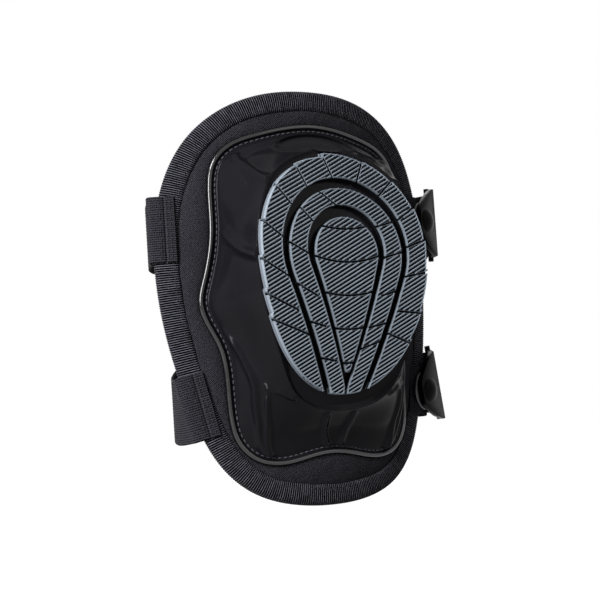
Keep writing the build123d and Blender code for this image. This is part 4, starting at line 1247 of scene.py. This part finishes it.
class KNEEPAD_OT_cushion(bpy.types.Operator):
    """Gel cushion behind the knee: crowned, with three stitched channels across it"""
    bl_idname = "kneepad.cushion"
    bl_label = "Gel cushion"

    def execute(self, context):
        angles = np.linspace(0, 2 * math.pi, 300, endpoint=False)

        def oval(t, around=angles):
            return (CUSHION_HALF_WIDTH * t * np.sin(around),
                    CUSHION_HALF_HEIGHT * t * np.cos(around))

        rows = []
        for t in np.linspace(0.02, 1, 70):
            x, z = oval(t)
            high = cushion_crown(t)
            level = np.full(len(angles), high)
            for at in CHANNELS:
                level = level - channel_depth(high) * np.exp(-((z - at) / (3.6 * MM)) ** 2)
            place = rolled(x, z, 0.0)
            uneven = wavy(place, 0.016, 0.0005, 1.9) + wavy(place, 0.005, 0.00015, 6.2)
            level = np.maximum(level + uneven * (1 - t ** 6), 0.0)
            rows.append(rolled(x, z, CUSHION_SEAT + 0.9 * MM - level))
        rows += [rolled(*oval(t), CUSHION_SEAT + 1.4 * MM) for t in (0.985, 0.5, 0.03)]
        cushion = polar_body("gel_cushion_cover", rows, "knit")
        self.swell(context, cushion)
        finish_piece(cushion, "pad", "gel_cover", "gel_cushion")

        for k, z in enumerate(CHANNELS):
            reach = CUSHION_HALF_WIDTH * math.sqrt(1 - (z / CUSHION_HALF_HEIGHT) ** 2) * 0.93
            x = np.linspace(-reach, reach, 80)
            high = cushion_crown(np.hypot(x / CUSHION_HALF_WIDTH, z / CUSHION_HALF_HEIGHT))
            line = rolled(x, z, CUSHION_SEAT + 0.75 * MM - high + channel_depth(high))
            stitches_along("cushion_stitches_%d" % (k + 1), line, -from_axis(line), "gel_cover",
                           CUSHION_PITCH, 0.9 * MM, 0.5 * MM, closed=False)
        ring = np.linspace(0, 2 * math.pi, 400, endpoint=False)
        edge = rolled(*oval(0.995, ring), CUSHION_SEAT + 0.35 * MM)
        stitches_along("cushion_edge_stitches", edge, -from_axis(edge), "gel_cover",
                       CUSHION_PITCH, 0.9 * MM, 0.5 * MM)
        return {"FINISHED"}

    def swell(self, context, obj):
        """Short cloth simulation under inner pressure, held at the seams, with its reach capped."""
        frames, farthest = 14, 1.5 * MM
        before = np.array([v.co for v in obj.data.vertices])
        held = obj.vertex_groups.new(name="held")
        depth = np.hypot(before[:, 0], before[:, 1] - AXIS_Y)
        for v in range(len(before)):
            near = depth[v] > BEND_RADIUS + LINING_BACK - 2.6 * MM
            channel = min(abs(before[v, 2] - at) for at in CHANNELS) < 1.2 * MM
            held.add([v], 1.0 if near or channel else 0.0, "REPLACE")
        cloth = obj.modifiers.new("swell", "CLOTH")
        settings = cloth.settings
        settings.quality = 6
        settings.mass = 0.25
        settings.tension_stiffness = 12
        settings.compression_stiffness = 6
        settings.bending_stiffness = 0.4
        settings.use_pressure = True
        settings.uniform_pressure_force = 3.0
        settings.vertex_group_mass = "held"
        settings.effector_weights.gravity = 0.0
        cloth.collision_settings.use_collision = False
        cloth.point_cache.frame_start, cloth.point_cache.frame_end = 1, frames
        for number in range(1, frames + 1):
            context.scene.frame_set(number)
        graph = context.evaluated_depsgraph_get()
        mesh = bpy.data.meshes.new_from_object(obj.evaluated_get(graph))
        after = np.array([v.co for v in mesh.vertices])
        bpy.data.meshes.remove(mesh)
        obj.modifiers.clear()
        obj.vertex_groups.clear()
        context.scene.frame_set(1)
        move = after - before
        far = np.linalg.norm(move, axis=1)
        scale = np.minimum(1.0, farthest / np.maximum(far, 1e-9))
        after = before + move * scale[:, None]
        obj.data.vertices.foreach_set("co", after.ravel())
        obj.data.update()


# ------------------------------------------------------------------ binding
TAPE_SECTION = [            # inset from the pad edge and offset from the middle of the foam, mm
    (11.8, 4.6), (12.0, 5.1), (11.8, 5.6), (10.4, 5.95), (8.4, 6.12), (6.2, 6.2), (4.0, 6.15),
    (2.3, 5.9), (1.0, 5.2), (0.3, 4.1), (0.05, 2.4), (0.0, 0.0), (0.05, -2.6), (0.3, -4.3),
    (1.0, -5.4), (2.3, -6.1), (4.0, -6.35), (6.2, -6.4), (8.4, -6.32), (10.4, -6.15),
    (11.8, -5.8), (12.0, -5.3), (11.8, -4.85), (8.0, -4.85), (3.0, -4.7), (1.6, -3.0), (1.5, 0.0),
    (1.6, 2.8), (3.0, 4.4), (8.0, 4.5)]
RIBBED_POINTS = range(2, 21)
TAPE_RIB = 0.46 * MM
TAPE_MIDDLE = 6.0           # inset that the section's outward side is judged from, mm


class KNEEPAD_OT_binding(bpy.types.Operator):
    """Ribbed tape folded round the pad edge, sewn through near its inner edge"""
    bl_idname = "kneepad.binding"
    bl_label = "Edge binding"

    def execute(self, context):
        sizes = context.scene.knee_pad_sizes
        count = sizes.tape_ribs * 4
        edge = outline(PAD_HALF, count)
        along, out = run_length(edge), outward_ways(edge)
        rib = 0.5 + 0.5 * np.cos(np.arange(count) * math.pi / 2)
        base = on_pad(edge, 0.0)
        slack = wavy(base, 0.030, 0.0005, 2.2) + wavy(base, 0.008, 0.0002, 7.7)
        rows, uv_rows, lit, around = [], [], [], 0.0
        for i, (inset, offset) in enumerate(TAPE_SECTION):
            (ai, ao), (bi, bo) = TAPE_SECTION[i - 1], TAPE_SECTION[(i + 1) % len(TAPE_SECTION)]
            length = math.hypot(bi - ai, bo - ao)
            ni, no = -(bo - ao) / length, (bi - ai) / length
            if ni * (inset - TAPE_MIDDLE) + no * offset < 0:
                ni, no = -ni, -no
            ribbed = i in RIBBED_POINTS
            ends = min(1.0, (i - 1) / 2.0, (21 - i) / 2.0) if ribbed else 0.0
            lift = (rib - 0.5) * TAPE_RIB * ends
            inner = smoothstep((inset - 8.0) / 4.0) * slack * (1.6 if ribbed else 0.0)
            flat = edge - out * (inset * MM + lift * ni)[:, None] + out * inner[:, None]
            rows.append(on_pad(flat, offset * MM + lift * no))
            uv_rows.append(np.stack([along, np.full(count, around)], 1))
            # The same rib wave sets where the tape gets its painted sheen; the inner side gets less
            # of it.
            lit.append(rib * (1.0 if ribbed else 0.4))
            around += math.hypot(bi - inset, bo - offset) * MM
        tape = new_object("edge_tape", np.array(rows).reshape(-1, 3),
                          grid_faces(len(rows), count, closed_rows=True), material("tape_rib_painted_sheen"),
                          uvs=np.array(uv_rows).reshape(-1, 2))
        shown = tape.data.attributes.new("rib", "FLOAT", "POINT")
        shown.data.foreach_set("value", np.array(lit).ravel().astype(np.float32))
        make_outward(tape)
        finish_piece(tape, "pad", "binding_tape", "edge_binding")
        line = grown(outline(PAD_HALF, 900), -9.6 * MM)
        for side, offset, face in (("front", 6.0, 1), ("back", -6.3, -1)):
            seat = on_pad(line, offset * MM)
            stitches_along("binding_stitches_" + side, seat, from_axis(seat) * face,
                           "binding_tape", sizes.stitch_pitch, 0.75 * MM, 0.4 * MM,
                           paint="dark_thread")
        return {"FINISHED"}


# ------------------------------------------------------------------ webbing
def ribbon_stations(node):
    """Centres and across directions along a strip, from the long edges of its CAD solid."""
    obj = node_copy(node, "strip", None)
    bm = bmesh.new()
    bm.from_mesh(obj.data)
    bmesh.ops.remove_doubles(bm, verts=bm.verts, dist=5e-6)
    bmesh.ops.dissolve_degenerate(bm, edges=bm.edges, dist=1e-6)
    at = {}
    for e in bm.edges:
        if len(e.link_faces) == 2 and e.calc_face_angle(0) > math.radians(50):
            for v in e.verts:
                at.setdefault(v, []).append(e)
    corners = [v for v, es in at.items() if len(es) == 3]
    chains = []
    for corner in corners:
        for e in at[corner]:
            path, edge, v = [corner.co.copy()], e, corner
            while True:
                v = edge.other_vert(v)
                path.append(v.co.copy())
                if v in corners or len(path) > 4000:
                    break
                edge = next(x for x in at[v] if x is not edge)
            if v in corners and len(path) > 3:
                chains.append((corner, v, path))
    lengths = [sum((b - a).length for a, b in zip(p, p[1:])) for _, _, p in chains]
    chains = [c for c, length in zip(chains, lengths) if length > 0.6 * max(lengths)]
    start, end = chains[0][0].co, chains[0][1].co
    paths = {}
    for corner, _, path in chains:
        gap = (corner.co - start).length
        if gap < 0.07 and (corner.co - end).length > gap:
            paths[tuple(round(k, 7) for k in corner.co)] = np.array([list(q) for q in path])
    bm.free()
    discard(obj)
    lines = list(paths.values())
    if len(lines) != 4:
        raise RuntimeError("%s: %d long edges" % (node, len(lines)))
    if len({len(line) for line in lines}) > 1:
        even = np.linspace(0, 1, 500)
        lines = [sampled(line, run_length(line) / run_length(line)[-1], even) for line in lines]
    order = np.argsort([np.linalg.norm(line[0] - lines[0][0]) for line in lines])
    a = (lines[0] + lines[order[1]]) / 2
    b = (lines[order[2]] + lines[order[3]]) / 2
    return (a + b) / 2, (b - a) / np.linalg.norm(b - a, axis=1)[:, None]


def smooth_stations(centre, across, step):
    """Stations on a smooth line through the given ones, about a step apart."""
    keep = [0]
    for i in range(1, len(centre)):
        if np.linalg.norm(centre[i] - centre[keep[-1]]) > 0.15 * MM:
            keep.append(i)
    centre, across = centre[keep], across[keep]
    n = len(centre)
    out_c, out_a = [], []
    for i in range(n - 1):
        p0, p1 = centre[max(i - 1, 0)], centre[i]
        p2, p3 = centre[i + 1], centre[min(i + 2, n - 1)]
        d = np.linalg.norm(p2 - p1)
        m1 = m2 = p2 - p1
        if i > 0:
            d0 = np.linalg.norm(p1 - p0)
            m1 = ((p2 - p1) / d * d0 + (p1 - p0) / d0 * d) / (d0 + d) * d
        if i + 2 < n:
            d3 = np.linalg.norm(p3 - p2)
            m2 = ((p3 - p2) / d3 * d + (p2 - p1) / d * d3) / (d + d3) * d
        pieces = max(2, int(math.ceil(d / step)))
        for t in np.linspace(0, 1, pieces, endpoint=i == n - 2):
            out_c.append(hermite(t, p1, m1, p2, m2))
            out_a.append(across[i] * (1 - t) + across[i + 1] * t)
    return np.array(out_c), np.array(out_a)


STRIP_EDGE = 0.35 * MM                  # radius of a strip's edges
OUT_LEFT, OUT_RIGHT = np.array([-0.5, -0.86, 0]), np.array([0.5, -0.86, 0])


def facing(normal, way, station):
    """Directions turned so that they face a way at one station."""
    return -normal if normal[station] @ way < 0 else normal


def webbing_strip(name, centre, across, width, thick, paint, ribs, rib_height):
    """Strip with rounded edges along stations; ribs run lengthways on both faces."""
    n = len(centre)
    tangent = np.gradient(centre, axis=0)
    tangent /= np.linalg.norm(tangent, axis=1)[:, None]
    across = across - np.sum(across * tangent, axis=1)[:, None] * tangent
    across /= np.linalg.norm(across, axis=1)[:, None]
    normal = np.cross(across, tangent)
    half_w, half_t = width / 2, thick / 2
    side = ribs * 4
    section = []
    for face in (1, -1):
        for k in range(side + 1):
            u = (k / side * 2 - 1) * face
            round_part = max(0.0, (abs(u) * half_w - (half_w - STRIP_EDGE)) / STRIP_EDGE)
            drop = half_t * (1 - math.sqrt(max(0.0, 1 - round_part ** 2)))
            fade = min(1.0, (1 - abs(u)) * 12)
            wave = rib_height * (0.5 - 0.5 * math.cos(2 * math.pi * k / side * ribs)) * fade
            section.append((u * half_w,
                            face * (half_t - drop * 0.85 - (rib_height - wave) * 0.8)))
    grid = np.array([centre + across * a + normal * b for a, b in section])
    along = run_length(centre)
    uvs = np.array([np.stack([np.full(n, a + (0 if b > 0 else 0.3 * MM)), along], 1)
                    for a, b in section])
    rows = len(section)
    faces = grid_faces(rows, n, closed_columns=False, closed_rows=True)
    faces.append(tuple(i * n for i in range(rows)))
    faces.append(tuple(i * n + n - 1 for i in reversed(range(rows))))
    obj = new_object(name, grid.reshape(-1, 3), faces, material(paint), uvs=uvs.reshape(-1, 2))
    make_outward(obj)
    sharpen(obj, 60)
    return obj, normal


STRAP_WIDTH, STRAP_THICK, STRAP_RIB = 38 * MM, 1.75 * MM, 0.22 * MM
STRAP_STEP = 1.6 * MM
SEWN_LENGTH, SEWN_STEP = 14 * MM, 0.5 * MM
CREASE_AT, CREASE_WIDTH = 5.8 * MM, 0.7 * MM


class KNEEPAD_OT_straps(bpy.types.Operator):
    """Elastic straps: sewn over the left edge, round the leg and through the clip on the right"""
    bl_idname = "kneepad.straps"
    bl_label = "Elastic straps"

    def execute(self, context):
        sizes = context.scene.knee_pad_sizes
        for level in ("upper", "lower"):
            centre, across = ribbon_stations(level + "_strap")
            if centre[0, 0] > centre[-1, 0]:
                centre, across = centre[::-1], across[::-1]
            if across[0, 2] < 0:
                across = -across
            centre, across = smooth_stations(centre, across, STRAP_STEP)
            centre, across = self.creased(centre, across, sizes.strap_crease)
            strap, normal = webbing_strip(level + "_elastic_strap", centre, across, STRAP_WIDTH,
                                          STRAP_THICK, "elastic", sizes.strap_ribs, STRAP_RIB)
            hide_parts(level + "_strap")
            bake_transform(strap)
            strip_stitches(level + "_strap_stitches", centre, across,
                           facing(normal, OUT_LEFT, 5), (2.2 * MM, 4.2 * MM, 9.2 * MM),
                           34 * MM, 0.85 * MM, "elastic_webbing")
        return {"FINISHED"}

    def creased(self, centre, across, depth):
        """Finer steps at the sewn end, and a crease where the strap leaves the cloth."""
        run = run_length(centre)
        at = np.concatenate([np.arange(0, SEWN_LENGTH, SEWN_STEP),
                             np.arange(SEWN_LENGTH, run[-1], STRAP_STEP), run[-1:]])
        centre, across = sampled(centre, run, at), sampled(across, run, at)
        outward = np.cross(across, np.gradient(centre, axis=0))
        outward /= np.linalg.norm(outward, axis=1)[:, None]
        pull = depth * np.exp(-((at - CREASE_AT) / CREASE_WIDTH) ** 2)
        return centre - facing(outward, OUT_LEFT, 5) * pull[:, None], across


TABS = {                    # level and lean of the tab, and how far its fold stands out, mm
    "upper": (52.0, 0.0, 4.0), "lower": (-55.0, -9.0, 1.0)}
TAB_LAYERS = (5.75, 7.6, -6.65)         # its end under the washer, over it, and behind the pad, mm
TAB_WIDTH, TAB_THICK, TAB_RIBS, TAB_RIB = 30 * MM, 1.35 * MM, 14, 0.16 * MM


def tab_line(level, lean, fold):
    """Middle line of a tab, round the pad edge from front to back, and its across direction."""
    edge = outline(PAD_HALF, 1440)
    right = edge[edge[:, 0] > 0.03]
    right = right[np.argsort(right[:, 1])]
    x = float(np.interp(level * MM, right[:, 1], right[:, 0]))
    turn, t = math.asin(x / BEND_RADIUS), math.radians(lean)
    u = np.array([math.cos(turn), math.sin(turn), 0])
    v = np.array([math.sin(turn), -math.cos(turn), 0])
    w = np.array([0, 0, 1.0])
    u, w = u * math.cos(t) + w * math.sin(t), w * math.cos(t) - u * math.sin(t)
    near, over, back = (value * MM for value in TAB_LAYERS)
    reach = (fold + 0.3) * MM
    middle, half = (over + back) / 2, (over - back) / 2
    route = [(-15.9 * MM, near - 0.4 * MM), (-13.4 * MM, near + 0.5 * MM), (-11.0 * MM, over),
             (-6.0 * MM, over), (0.0, over), (reach - 1.5 * MM, over)]
    for k in range(1, 12):
        a = math.pi * k / 12
        rise = half * abs(math.cos(a)) ** 0.8
        route.append((reach + 1.9 * MM * math.sin(a), middle + (rise if k < 6 else -rise)))
    route += [(reach - 1.5 * MM, back), (-7.0 * MM, back - 0.15 * MM),
              (-14.0 * MM, back - 0.55 * MM)]
    origin = rolled(x, level * MM, 0.0)
    centre = np.array([origin + u * a + v * b for a, b in route])
    return centre, np.tile(w, (len(centre), 1))


class KNEEPAD_OT_tabs(bpy.types.Operator):
    """Webbing tabs folded over the right edge, which hold the snap studs"""
    bl_idname = "kneepad.tabs"
    bl_label = "Stud tabs"

    def execute(self, context):
        for name, shape in TABS.items():
            centre, across = smooth_stations(*tab_line(*shape), 1.0 * MM)
            tab, normal = webbing_strip(name + "_webbing_tab", centre, across, TAB_WIDTH,
                                        TAB_THICK, "webbing", TAB_RIBS, TAB_RIB)
            finish_piece(tab, "pad", "webbing", name + "_tab")
            strip_stitches(name + "_tab_stitches", centre, across, facing(normal, OUT_RIGHT, 3),
                           (1.6 * MM, 3.6 * MM), 27 * MM, 0.68 * MM, "webbing")
        return {"FINISHED"}


class KNEEPAD_OT_hardware(bpy.types.Operator):
    """Plastic clips and slides with eased edges, and the steel snap studs"""
    bl_idname = "kneepad.hardware"
    bl_label = "Clips, slides and studs"

    def execute(self, context):
        for level in ("upper", "lower"):
            for part, bevel in (("_clip", 0.45 * MM), ("_slide", 0.3 * MM)):
                node = level + part
                piece = finished_copy(node, node + "_moulding", material("clip_gloss"), bevel)
                finish_piece(piece, node, "clip_plastic", node)
            for part in ("_stud_washer", "_snap_stud"):
                node = level + part
                piece = finished_copy(node, node + "_steel", material("steel"), 0.15 * MM, 30)
                finish_piece(piece, "pad", "steel", node)
        return {"FINISHED"}


# ------------------------------------------------------------------ stage
FLOOR_HALF, FLOOR_GAP = 6.0, 0.4 * MM
SOFT_LIGHT, FLOOR_GLOW = 0.14, 0.965
LAMPS = {                   # place, side and power
    "key": ((-1.05, -0.45, 0.75), 0.35, 18.0), "side": ((-1.15, -0.35, 0.30), 0.40, 14.0),
    "fill": ((0.5, -1.2, 0.5), 0.7, 2.0), "back": ((0.3, 1.0, 0.9), 0.8, 8.0)}
CAMERA_PLACE = (-0.4599, -0.7449, -0.0713)
CAMERA_TURN, CAMERA_RISE, CAMERA_ROLL = (math.radians(a) for a in (32.17, 4.72, -3.82))
CAMERA_LENS, CAMERA_SHIFT = 88.67, (-0.0279, 0.0047)


def seen_directly(tree):
    """One for camera, glossy and transmission rays, and nought for the light that falls."""
    path = tree.nodes.new("ShaderNodeLightPath").outputs
    return math_node(tree, "MAXIMUM", path["Is Camera Ray"], math_node(
        tree, "MAXIMUM", path["Is Glossy Ray"], path["Is Transmission Ray"]))


class KNEEPAD_OT_stage(bpy.types.Operator):
    """Pale floor, soft studio light and the camera"""
    bl_idname = "kneepad.stage"
    bl_label = "Stage, light and camera"

    def execute(self, context):
        s, ground = FLOOR_HALF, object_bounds()[0][2] - FLOOR_GAP
        floor = new_object("floor", [(-s, -s, ground), (s, -s, ground), (s, s, ground),
                                     (-s, s, ground)], [(0, 1, 2, 3)], self.floor_paint(),
                           smooth=False)
        floor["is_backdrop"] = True
        world = bpy.data.worlds.new("studio")
        world.use_nodes = True
        tree = world.node_tree
        tree.nodes.clear()
        soft, white = [add_node(tree, "ShaderNodeBackground", {
            "Color": (1, 1, 1, 1), "Strength": strength}).outputs[0]
            for strength in (SOFT_LIGHT, 1.0)]
        mix = add_node(tree, "ShaderNodeMixShader", {0: seen_directly(tree), 1: soft, 2: white})
        add_node(tree, "ShaderNodeOutputWorld", {0: mix.outputs[0]})
        context.scene.world = world
        for name, (place, side, power) in LAMPS.items():
            data = bpy.data.lights.new(name, "AREA")
            data.shape = "SQUARE"
            data.size = side
            data.energy = power
            lamp = linked(name, data)
            lamp.location = place
            lamp.rotation_euler = (-Vector(place)).to_track_quat("-Z", "Y").to_euler()
        self.camera(context.scene)
        context.scene.view_settings.view_transform = "Standard"
        return {"FINISHED"}

    def floor_paint(self):
        """Grey to the light that falls on it, near white where it is seen."""
        paint, tree, shader, _ = new_material("floor_pale")
        feed(tree, shader, {"Base Color": (0.3, 0.3, 0.3, 1), "Roughness": 0.9,
                            "Specular IOR Level": 0.0})
        glow = add_node(tree, "ShaderNodeEmission", {
            "Color": (1, 1, 1, 1),
            "Strength": math_node(tree, "MULTIPLY", seen_directly(tree), FLOOR_GLOW)})
        both = add_node(tree, "ShaderNodeAddShader", {0: shader.outputs[0], 1: glow.outputs[0]})
        out = next(n for n in tree.nodes if n.type == "OUTPUT_MATERIAL")
        tree.links.new(both.outputs[0], out.inputs[0])
        return paint

    def camera(self, scene):
        """Camera turned, raised and rolled about its own place."""
        t, e, r = CAMERA_TURN, CAMERA_RISE, CAMERA_ROLL
        ahead = Vector((math.sin(t) * math.cos(e), math.cos(t) * math.cos(e), math.sin(e)))
        right = Vector((math.cos(t), -math.sin(t), 0))
        up = right.cross(ahead)
        right, up = (right * math.cos(r) + up * math.sin(r),
                     up * math.cos(r) - right * math.sin(r))
        data = bpy.data.cameras.new("camera")
        data.sensor_width = 36
        data.lens = CAMERA_LENS
        data.shift_x, data.shift_y = CAMERA_SHIFT
        data.clip_start, data.clip_end = 0.01, 50
        camera = linked("camera", data)
        turn = Matrix((right, up, -ahead)).transposed().to_4x4()
        camera.matrix_world = Matrix.Translation(CAMERA_PLACE) @ turn
        scene.camera = camera


# ------------------------------------------------------------------ panel and start
OPERATORS = (KNEEPAD_OT_cap, KNEEPAD_OT_tread, KNEEPAD_OT_cloth, KNEEPAD_OT_cushion,
             KNEEPAD_OT_binding, KNEEPAD_OT_straps, KNEEPAD_OT_tabs, KNEEPAD_OT_hardware,
             KNEEPAD_OT_stage)


class KNEEPAD_PT_panel(bpy.types.Panel):
    """Sizes, colours and the pieces of the knee pad"""
    bl_label = "Knee pad"
    bl_idname = "KNEEPAD_PT_panel"
    bl_space_type = "VIEW_3D"
    bl_region_type = "UI"
    bl_category = "Knee pad"

    def draw(self, context):
        for group in (context.scene.knee_pad_sizes, context.scene.knee_pad_colours):
            box = self.layout.box()
            for label in group.__annotations__:
                box.prop(group, label)
        column = self.layout.column(align=True)
        for operator in OPERATORS:
            column.operator(operator.bl_idname)


CLASSES = (KneePadSizes, KneePadColours, *OPERATORS, KNEEPAD_PT_panel)


def register():
    for cls in CLASSES:
        bpy.utils.register_class(cls)
    bpy.types.Scene.knee_pad_sizes = PointerProperty(type=KneePadSizes)
    bpy.types.Scene.knee_pad_colours = PointerProperty(type=KneePadColours)


def unregister():
    del bpy.types.Scene.knee_pad_sizes
    del bpy.types.Scene.knee_pad_colours
    for cls in reversed(CLASSES):
        bpy.utils.unregister_class(cls)


def main():
    register()
    bpy.ops.kneepad.cap()
    bpy.ops.kneepad.tread()
    bpy.ops.kneepad.cloth()
    bpy.ops.kneepad.cushion()
    bpy.ops.kneepad.binding()
    bpy.ops.kneepad.straps()
    bpy.ops.kneepad.tabs()
    bpy.ops.kneepad.hardware()
    bpy.ops.kneepad.stage()


if __name__ == "__main__":
    main()
